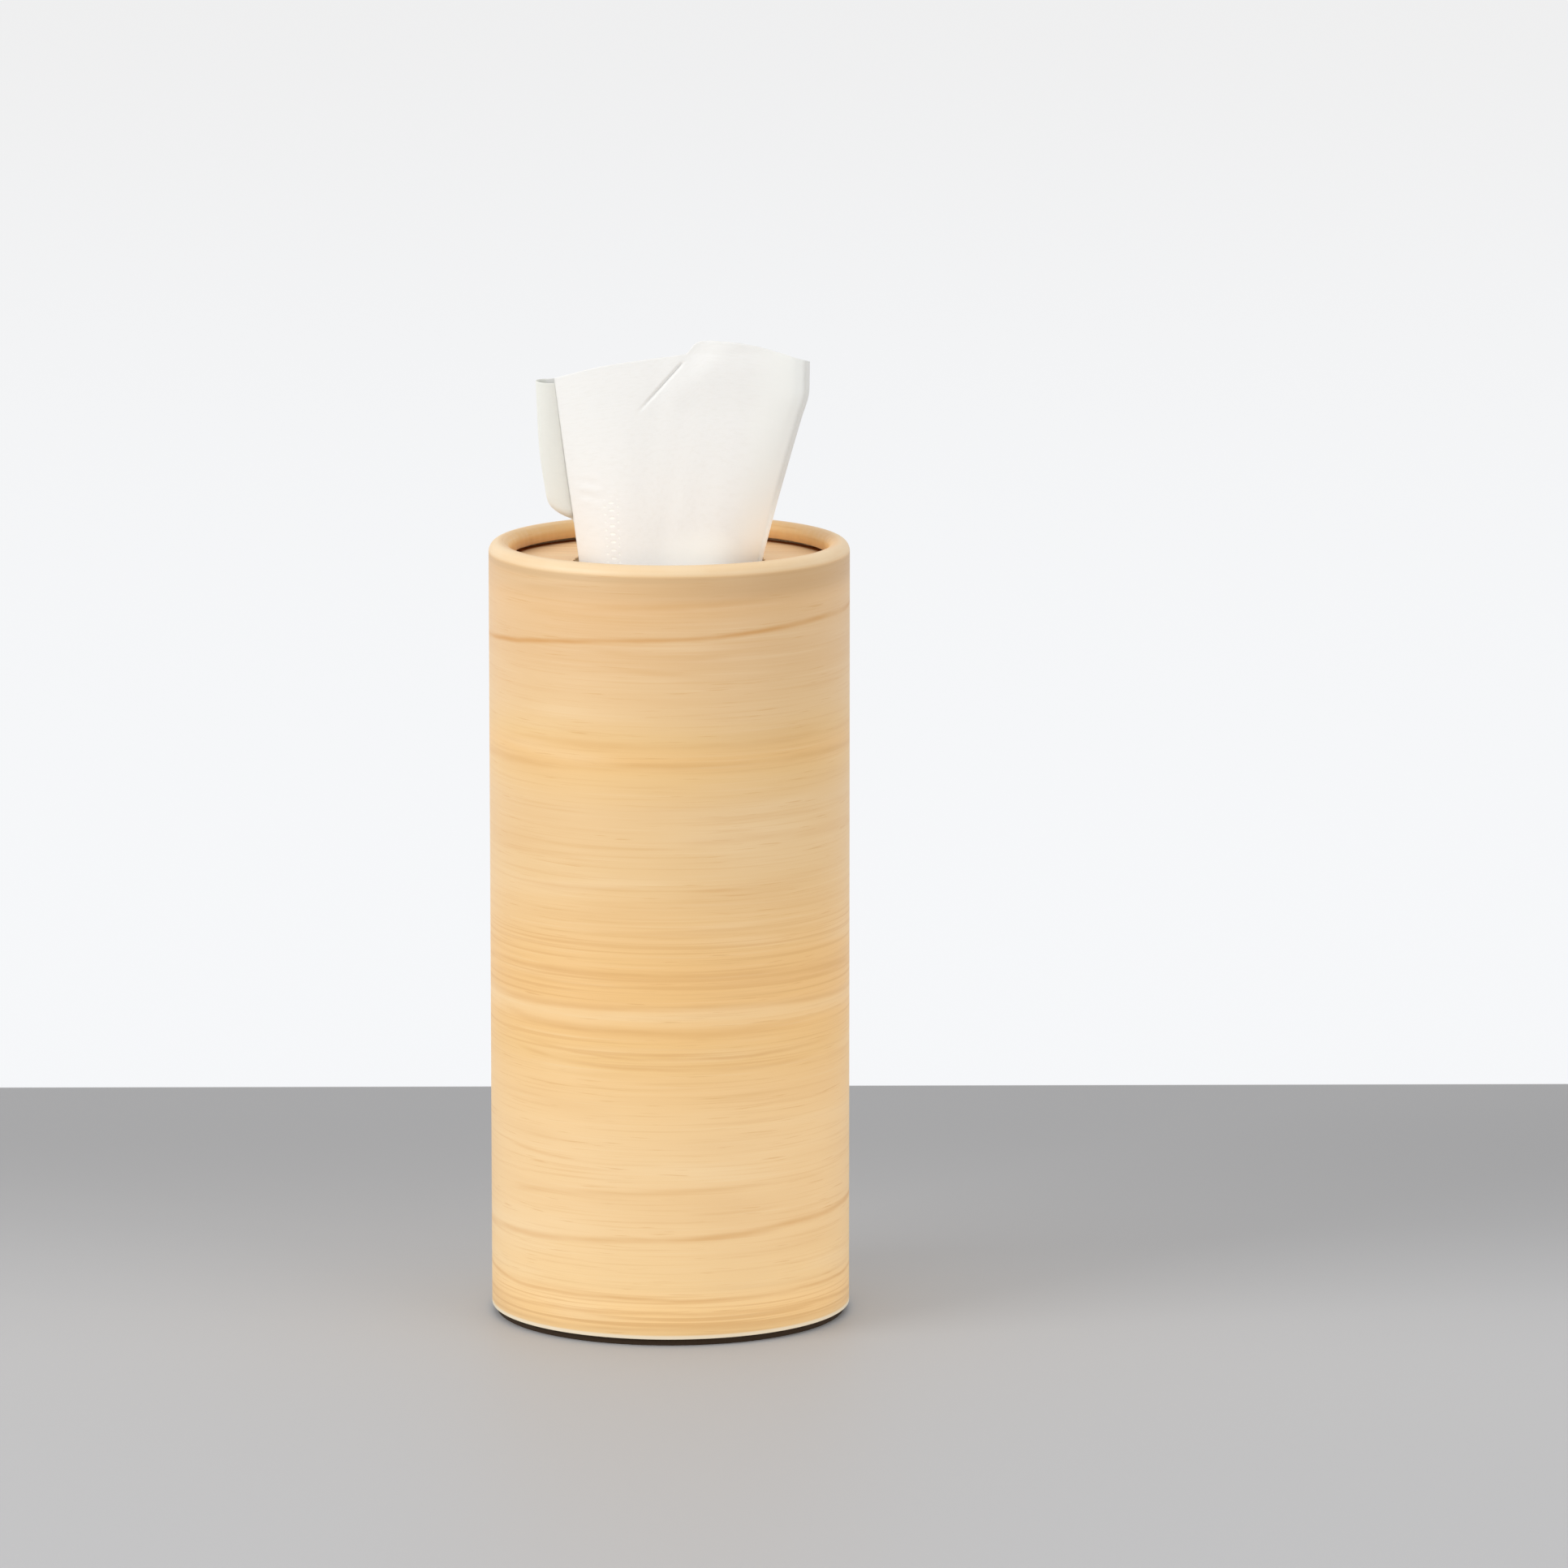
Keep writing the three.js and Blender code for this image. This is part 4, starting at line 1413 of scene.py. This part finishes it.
@dataclass
class StandingTissue:
    """The tissue that stands in the mouth.

    It has a front panel, a fold on the right, a back panel and a rolled edge on the left. Shares
    across the sheet run from the front panel's left edge round to the rolled edge.
    """

    foot: float = 7.6
    disc_top: float = 158.6
    tail_half: float = 17.2
    mouth_half: float = 18.6
    thickness: float = 0.18
    flat: Span = SHEET_FLAT
    columns: int = 300
    rows: int = 128
    tail_share: float = 0.24
    front_end: float = 0.50
    fold_end: float = 0.55
    back_end: float = 0.87
    front_columns: Knots = (
        (0.0, -1.0), (0.16, -0.55), (0.30, -0.28), (0.50, -0.03), (0.70, 0.22), (0.84, 0.52), (1.0, 1.0),
    )
    fan_rows: Knots = ((0.0, 0.0), (0.2, 0.32), (0.4, 0.60), (0.6, 0.765), (0.8, 0.885), (1.0, 1.0))
    edge_front: float = 2.2
    edge_back: float = 1.2
    edge_lead: float = -0.3
    edge_round: float = 1.3
    lead_start: float = 0.35
    round_start: float = 0.90
    edge_rise: float = 14.0
    edge_calm: float = 0.15
    bow_mouth: float = 9.5
    bow_top: float = 2.4
    bow_power: float = 4.4
    back_bow: Span = (4.0, 2.0)
    fan_height: float = 44.0
    fan_power: float = 0.7
    fold_bulge: float = 0.95
    left_edge: Knots = ((0.0, 18.6), (10.0, 19.9), (20.0, 21.3), (38.6, 23.7), (46.0, 24.6))
    right_edge: Knots = (
        (0.0, 18.2), (10.0, 20.8), (20.0, 23.6), (30.0, 26.5), (34.5, 27.9), (38.0, 28.1), (46.0, 28.2),
    )
    front_top: Knots = (
        (-23.7, 38.6), (-14.2, 41.2), (-4.0, 42.8), (2.6, 43.7), (4.2, 44.2), (5.8, 46.0),
        (7.4, 46.6), (12.0, 46.5), (17.9, 45.6), (24.0, 43.7), (28.2, 42.0),
    )
    back_top: Knots = ((-26.0, 38.0), (-14.0, 39.0), (4.0, 40.2), (18.0, 41.0), (28.2, 42.0))
    roll_reach: Knots = (
        (0.0, 0.0), (8.6, 0.2), (10.0, 2.6), (12.0, 4.6), (16.0, 5.0), (24.0, 5.0), (38.0, 3.9),
    )
    roll_sag: float = 0.5
    sag_share: float = 0.12
    roll_full: float = 4.0
    roll_least: float = 0.9
    roll_deep: Span = (0.9, 1.7)
    roll_turn: Span = (0.5 * math.pi, 1.76 * math.pi)
    crease_foot: Span = (-5.7, 32.6)
    crease_slope: float = 0.90
    lobe_low: float = 31.0
    lobe_rise: float = 12.5
    lobe_forward: float = 0.7
    lobe_width: float = 8.0
    lobe_start: float = 0.05
    lobe_calm: float = 12.0
    groove: float = 0.60
    groove_width: float = 0.38
    groove_low: float = 30.5
    groove_high: float = 41.0
    groove_ease: Span = (7.0, 1.6)
    gather_fade: float = 17.0
    pucker: float = 0.15
    pucker_at: Span = (0.030, 15.5)
    pucker_size: Span = (0.022, 3.0)

    def top(self, s: float) -> float:
        """Height of the top edge above the disc.

        Args:
            s: Share across the sheet.

        Returns:
            The height in millimetres.
        """
        if s <= self.front_end:
            across = follow(self.front_columns, s / self.front_end)
            left, right = self.front_top[0][0], self.front_top[-1][0]
            return follow(self.front_top, mix(left, right, (across + 1.0) / 2.0))
        back = min((s - self.front_end) / (self.back_end - self.front_end), 1.0)
        left, right = self.back_top[0][0], self.back_top[-1][0]
        sag = self.roll_sag * smooth((s - self.back_end) / self.sag_share)
        return follow(self.back_top, mix(right, left, back)) - sag

    def lobe(self, x: float, rise: float, right: float) -> float:
        """Shift of the front panel beside the slanting crease that parts its right lobe from the left.

        Args:
            x: Place across, from the axis.
            rise: Height above the disc.
            right: Place of the right edge at this height.

        Returns:
            Shift to the front.
        """
        strength = smooth((rise - self.lobe_low) / self.lobe_rise)
        if strength == 0.0:
            return 0.0
        side = x - self.crease_foot[0] - (rise - self.crease_foot[1]) * self.crease_slope
        step = smooth(side / self.lobe_width + self.lobe_start)
        calm = smooth((right - x) / self.lobe_calm)
        deep = smooth((rise - self.groove_low) / self.groove_ease[0])
        deep *= 1.0 - smooth((rise - self.groove_high) / self.groove_ease[1])
        groove = self.groove * deep * math.exp(-((side / self.groove_width) ** 2))
        return self.lobe_forward * strength * step * calm - groove

    def ripple(self, s: float, z: float, rise: float) -> float:
        """Gathers of the tail that fade below the mouth, soft folds of the fan, and a small pucker.

        Args:
            s: Share across the sheet.
            z: Height in millimetres.
            rise: Height above the disc.

        Returns:
            Shift across the sheet's surface in millimetres.
        """
        turn = FULL_TURN * s
        gathered = 1.0 - smooth((z - self.disc_top + self.gather_fade) / self.gather_fade)
        sway = 1.3 * math.sin(z / 37.0 + 6.0 * s) + 1.7 * math.sin(9.0 * s + 0.6)
        depth = 0.85 + 0.32 * math.sin(2.7 * turn + 0.8) + 0.22 * math.sin(z / 29.0 + 17.0 * s)
        pleats = depth * math.sin(12.0 * turn + sway) + 0.30 * math.sin(26.3 * turn - z / 27.0 + 1.4)
        soft = 0.04 * math.sin(5.3 * turn + 0.06 * rise)
        soft += 0.03 * smooth(rise / 10.0) * math.sin(9.1 * turn - 0.11 * rise + 1.0)
        away = ((s - self.pucker_at[0]) / self.pucker_size[0]) ** 2
        away += ((rise - self.pucker_at[1]) / self.pucker_size[1]) ** 2
        pucker = self.pucker * math.exp(-away) * math.sin(2.2 * rise + 40.0 * s)
        return pleats * gathered + soft + pucker

    def place(self, s: float, t: float) -> Vector:
        """Puts one point of the sheet in its place.

        Args:
            s: Share across the sheet.
            t: Share along, from the tail's foot to the top edge.

        Returns:
            The point in millimetres.
        """
        if t < self.tail_share:
            share = t / self.tail_share
            z, rise, spread, reach = mix(self.foot, self.disc_top, share), 0.0, 0.0, 0.0
            left = right = mix(self.tail_half, self.mouth_half, share)
        else:
            spread = follow(self.fan_rows, (t - self.tail_share) / (1.0 - self.tail_share))
            rise = spread * self.top(s)
            z = self.disc_top + rise
            left, right = follow(self.left_edge, rise), follow(self.right_edge, rise)
            reach = follow(self.roll_reach, rise)
        roll = max(self.roll_least, 0.5 * (reach + self.roll_least))
        roll_x = -left - reach + roll
        settled = smooth(rise / self.edge_rise)
        rounded = self.edge_round * settled
        if s <= self.front_end:
            across = follow(self.front_columns, s / self.front_end)
            x = mix(-left, right, (across + 1.0) / 2.0)
            opened = min(1.0, rise / self.fan_height) ** self.fan_power
            bow = mix(self.bow_mouth, self.bow_top, opened) * (1.0 - abs(across) ** self.bow_power)
            y = -self.edge_front - bow - self.lobe(x, rise, right)
            y -= self.edge_lead * settled * smooth(-across - self.lead_start)
            y += rounded * max(0.0, (across - self.round_start) / (1.0 - self.round_start)) ** 2
            return Vector((x, y + self.calmed(across, s, z, rise), z))
        if s <= self.fold_end:
            turn = math.pi * (s - self.front_end) / (self.fold_end - self.front_end)
            y = mix(rounded - self.edge_front, self.edge_back, 0.5 - 0.5 * math.cos(turn))
            return Vector((right + self.fold_bulge * math.sin(turn), y, z))
        if s <= self.back_end:
            across = 1.0 - 2.0 * (s - self.fold_end) / (self.back_end - self.fold_end)
            x = mix(roll_x, right, (across + 1.0) / 2.0)
            y = self.edge_back + mix(*self.back_bow, spread) * (1.0 - across * across)
            return Vector((x, y + self.calmed(across, s, z, rise), z))
        angle = mix(*self.roll_turn, (s - self.back_end) / (1.0 - self.back_end))
        deep = mix(*self.roll_deep, smooth(reach / self.roll_full))
        middle = self.edge_back - deep
        return Vector((roll_x + roll * math.cos(angle), middle + deep * math.sin(angle), z))

    def calmed(self, across: float, s: float, z: float, rise: float) -> float:
        """The ripple of a panel, calm at the panel's two edges.

        Args:
            across: Place on the panel, -1 at its left edge and 1 at its right one.
            s: Share across the sheet.
            z: Height in millimetres.
            rise: Height above the disc.

        Returns:
            Shift in millimetres.
        """
        return self.ripple(s, z, rise) * smooth((1.0 - abs(across)) / self.edge_calm)

    def build(self) -> list[bpy.types.Object]:
        """Builds the standing tissue.

        Returns:
            The tissue alone.
        """
        shape = sheet_of(self.place, self.columns, self.rows, self.flat)
        tissue = dressed("standing_tissue", shape, ROLLED_TISSUE, SHEET_SHARP)
        seated(tissue, Body.STANDING, "popup_tissue")
        thicken(tissue, self.thickness)
        return [tissue]


@dataclass
class FollowingTissue:
    """The next tissue, folded in two and pleated inside the first one's tail."""

    half: float = 11.9
    foot: float = 7.7
    tip: float = 122.0
    tip_slant: float = 1.6
    back_leaf: float = 86.0
    centre: float = -1.3
    depth: float = 2.4
    layer_gap: float = 0.8
    fold_drop: float = 0.6
    fold_turn: float = 0.06
    pleats: int = 20
    thickness: float = 0.1
    fold_share: float = 0.56
    flat: Span = SHEET_FLAT
    rows: int = 64

    def place(self, s: float, t: float) -> Vector:
        """Puts one point of the sheet in its place.

        Args:
            s: Share across the pleats.
            t: Share along, from the tip down to the fold and up the second leaf.

        Returns:
            The point in millimetres.
        """
        x = mix(-self.half, self.half, s)
        y = self.centre + self.depth * math.sin(math.pi * self.pleats * s)
        low = self.foot + self.fold_drop
        if t <= self.fold_share:
            return Vector((x, y, mix(self.tip - self.tip_slant * s, low, t / self.fold_share)))
        up = (t - self.fold_share) / (1.0 - self.fold_share)
        turn = min(up / self.fold_turn, 1.0)
        z = mix(low, self.foot + self.back_leaf, up) - self.fold_drop * math.sin(math.pi * turn)
        return Vector((x, y + self.layer_gap * smooth(turn), z))

    def build(self) -> list[bpy.types.Object]:
        """Builds the following tissue.

        Returns:
            The tissue alone.
        """
        shape = sheet_of(self.place, self.pleats * 8, self.rows, self.flat)
        tissue = dressed("following_tissue", shape, TISSUE, SHEET_SHARP)
        seated(tissue, Body.FOLLOWING, "next_tissue")
        thicken(tissue, self.thickness)
        return [tissue]


@dataclass
class TissuePack:
    """The interfolded pack, rolled to stand round the hollow that the tissues rise through."""

    sheets: int = 14
    core: float = 22.05
    leaf: float = 0.27
    pitch: float = 0.42
    low: float = 5.3
    high: float = 105.3
    end_gap: float = 0.5
    ragged: float = 0.35
    fold_gap: float = 0.12
    fold_turn: float = 0.03
    wave: float = 0.045
    wave_rise: float = 12.0
    thickness: float = 0.14
    flat: Span = SHEET_FLAT
    columns: int = 60
    rows: int = 130

    def place(self, number: int, s: float, t: float) -> Vector:
        """Puts one point of a sheet in its place.

        Args:
            number: The sheet, counted from the hollow outwards.
            s: Share round the pack.
            t: Share along, from the inner leaf's free end over the fold to the outer one's.

        Returns:
            The point in millimetres.
        """
        inner = self.core + 2 * number * self.pitch + 0.5 * self.leaf
        outer = inner + 3 * self.pitch
        fold = 0.5 * (outer - inner)
        half = self.flat[0] / (inner + outer)
        angle = mix(-half, half, s)
        ragged = self.ragged * (0.5 + 0.5 * math.sin(7.0 * s + 1.9 * number))
        free = self.high - self.low - self.end_gap - ragged
        nearness = (t - 0.5) * 2.0
        turn = 0.5 * math.pi * max(-1.0, min(1.0, nearness / self.fold_turn))
        radius = mix(inner, outer, 0.5 + 0.5 * math.sin(turn))
        rise = self.fold_gap + fold * (1.0 - math.cos(turn))
        leaf = max(0.0, (abs(nearness) - self.fold_turn) / (1.0 - self.fold_turn))
        rise += leaf * (free - fold - self.fold_gap)
        radius += self.wave * math.sin(11.0 * s + 2.3 * number) * smooth(rise / self.wave_rise)
        z = self.low + rise if FoldAt(number % 2) is FoldAt.BOTTOM else self.high - rise
        return Vector((radius * math.sin(angle), -radius * math.cos(angle), z))

    def build(self) -> list[bpy.types.Object]:
        """Builds the pack, sheet by sheet.

        Returns:
            The sheets, from the hollow outwards.
        """
        made = []
        for number in range(self.sheets):
            shape = sheet_of(lambda s, t, n=number: self.place(n, s, t), self.columns, self.rows, self.flat)
            tissue = dressed(f"pack_tissue_{number + 1:02d}", shape, TISSUE, SHEET_SHARP)
            seated(tissue, Body.TUBE, f"tissue_sheet_{number + 1:02d}")
            thicken(tissue, self.thickness)
            made.append(tissue)
        return made


@dataclass(frozen=True)
class StudioFloor(Finish):
    """Pale grey table top in front, and white ground behind it that shows as plain white."""

    name: str = "studio_floor"
    near: Colour = (0.468, 0.470, 0.480)
    far: Colour = (0.325, 0.325, 0.333)
    fade: Span = (-0.06, 0.19)
    white: Colour = (0.925, 0.935, 0.952)
    distant: Colour = (0.865, 0.865, 0.868)
    distance: Span = (0.3, 3.0)
    edge: Span = (0.2294, 0.2306)

    def paint(self, shader: Shader) -> bpy.types.Material:
        """Paints the table top and the white ground.

        Args:
            shader: The finish's empty node tree.

        Returns:
            The finished material.
        """
        depth = shader.place()[1].outputs[1]
        behind = shader.remap(depth, *self.edge)
        grey = shader.tinge(self.near, self.far, depth, *self.fade)
        rays = shader.node("ShaderNodeLightPath")
        kinds = ("Is Camera Ray", "Is Glossy Ray", "Is Transmission Ray")
        seen = shader.most(*(rays.outputs[kind] for kind in kinds))
        table = shader.node("ShaderNodeBsdfPrincipled", {
            "Base Color": shader.blend(behind, grey, self.white),
            "Roughness": 0.55,
            "Specular IOR Level": 0.25,
        })
        glow = shader.node("ShaderNodeEmission", {
            "Color": shader.tinge(self.white, self.distant, depth, *self.distance),
            "Strength": 1.0,
        })
        both = shader.node("ShaderNodeMixShader", {
            0: shader.times(seen, behind), 1: table.outputs[0], 2: glow.outputs[0],
        })
        shader.node("ShaderNodeOutputMaterial", {"Surface": both.outputs[0]})
        return shader.material


@dataclass(frozen=True)
class Lamp:
    """A soft square lamp, or with a cone a weak one whose light fades from its middle, as from a card."""

    name: str
    place: Point
    power: float
    tint: Colour
    size: float
    aim: Point = (0.0, 0.0, 0.09)
    cone: float = 0.0

    def light(self) -> bpy.types.Light:
        """Makes the lamp's light.

        Returns:
            An area light, or a spot light where the lamp has a cone.
        """
        light = bpy.data.lights.new(self.name, "SPOT" if self.cone else "AREA")
        if self.cone:
            light.spot_size = math.radians(self.cone)
            light.spot_blend = 1.0
            light.shadow_soft_size = self.size
        else:
            light.shape = "SQUARE"
            light.size = self.size
        light.energy = self.power
        light.color = self.tint
        return light

    def hang(self) -> None:
        """Hangs the lamp in its place, turned to its aim."""
        lamp = bpy.data.objects.new(self.name, self.light())
        lamp.location = self.place
        lamp.rotation_euler = (Vector(self.aim) - Vector(self.place)).to_track_quat("-Z", "Y").to_euler()
        bpy.context.scene.collection.objects.link(lamp)


@dataclass
class Studio:
    """Camera, floor and soft light."""

    eye: Point = (0.0, -2.0920, 0.47768)
    pitch: float = 9.928
    yaw: float = 0.6525
    lens: float = 233.92
    sensor: float = 36.0
    clip: Span = (0.1, 60.0)
    floor_half: float = 9.0
    sky: float = 0.885
    lamps: tuple[Lamp, ...] = (
        Lamp("key_left", (-1.80, -1.00, 1.00), 23.0, (1.0, 0.985, 0.96), 1.2),
        Lamp("fill_right", (1.40, -1.40, 0.50), 6.4, (1.0, 0.975, 0.94), 1.0),
        Lamp("card_right", (1.85, -0.75, 0.20), 21.0, (1.0, 0.84, 0.64), 0.04, (0.035, -0.01, 0.024), 6.2),
    )

    def camera(self) -> None:
        """Sets the camera where the photograph was taken from."""
        lens = bpy.data.cameras.new("photo_camera")
        lens.lens = self.lens
        lens.sensor_width = self.sensor
        lens.clip_start, lens.clip_end = self.clip
        camera = bpy.data.objects.new("photo_camera", lens)
        camera.location = self.eye
        camera.rotation_euler = (math.radians(90.0 - self.pitch), 0.0, math.radians(-self.yaw))
        bpy.context.scene.collection.objects.link(camera)
        bpy.context.scene.camera = camera

    def floor(self) -> None:
        """Lays the floor under the box."""
        shape = bmesh.new()
        bmesh.ops.create_grid(shape, x_segments=8, y_segments=8, size=self.floor_half)
        dressed("floor", shape, StudioFloor())

    def heaven(self) -> None:
        """Sets the even white light of the sky."""
        world = bpy.data.worlds.new("sky")
        world.use_nodes = True
        sky = world.node_tree.nodes["Background"]
        sky.inputs["Color"].default_value = (1.0, 1.0, 1.0, 1.0)
        sky.inputs["Strength"].default_value = self.sky
        bpy.context.scene.world = world

    def build(self) -> None:
        """Sets up camera, floor, lamps and sky."""
        self.camera()
        self.floor()
        for lamp in self.lamps:
            lamp.hang()
        self.heaven()
        bpy.context.scene.view_settings.view_transform = "Standard"


def main() -> None:
    """Builds the studio and the box's assemblies in order, and reports each piece."""
    logging.basicConfig(level=logging.INFO, format="%(message)s")
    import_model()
    Studio().build()
    assemblies = (
        PaperTube(), TopDisc(), OpeningFlap(), BottomCup(),
        StandingTissue(), FollowingTissue(), TissuePack(),
    )
    for assembly in assemblies:
        for piece in assembly.build():
            LOG.info("%s: %s, %d faces", type(assembly).__name__, piece.name, len(piece.data.polygons))
    bpy.context.view_layer.update()


if __name__ == "__main__":
    main()
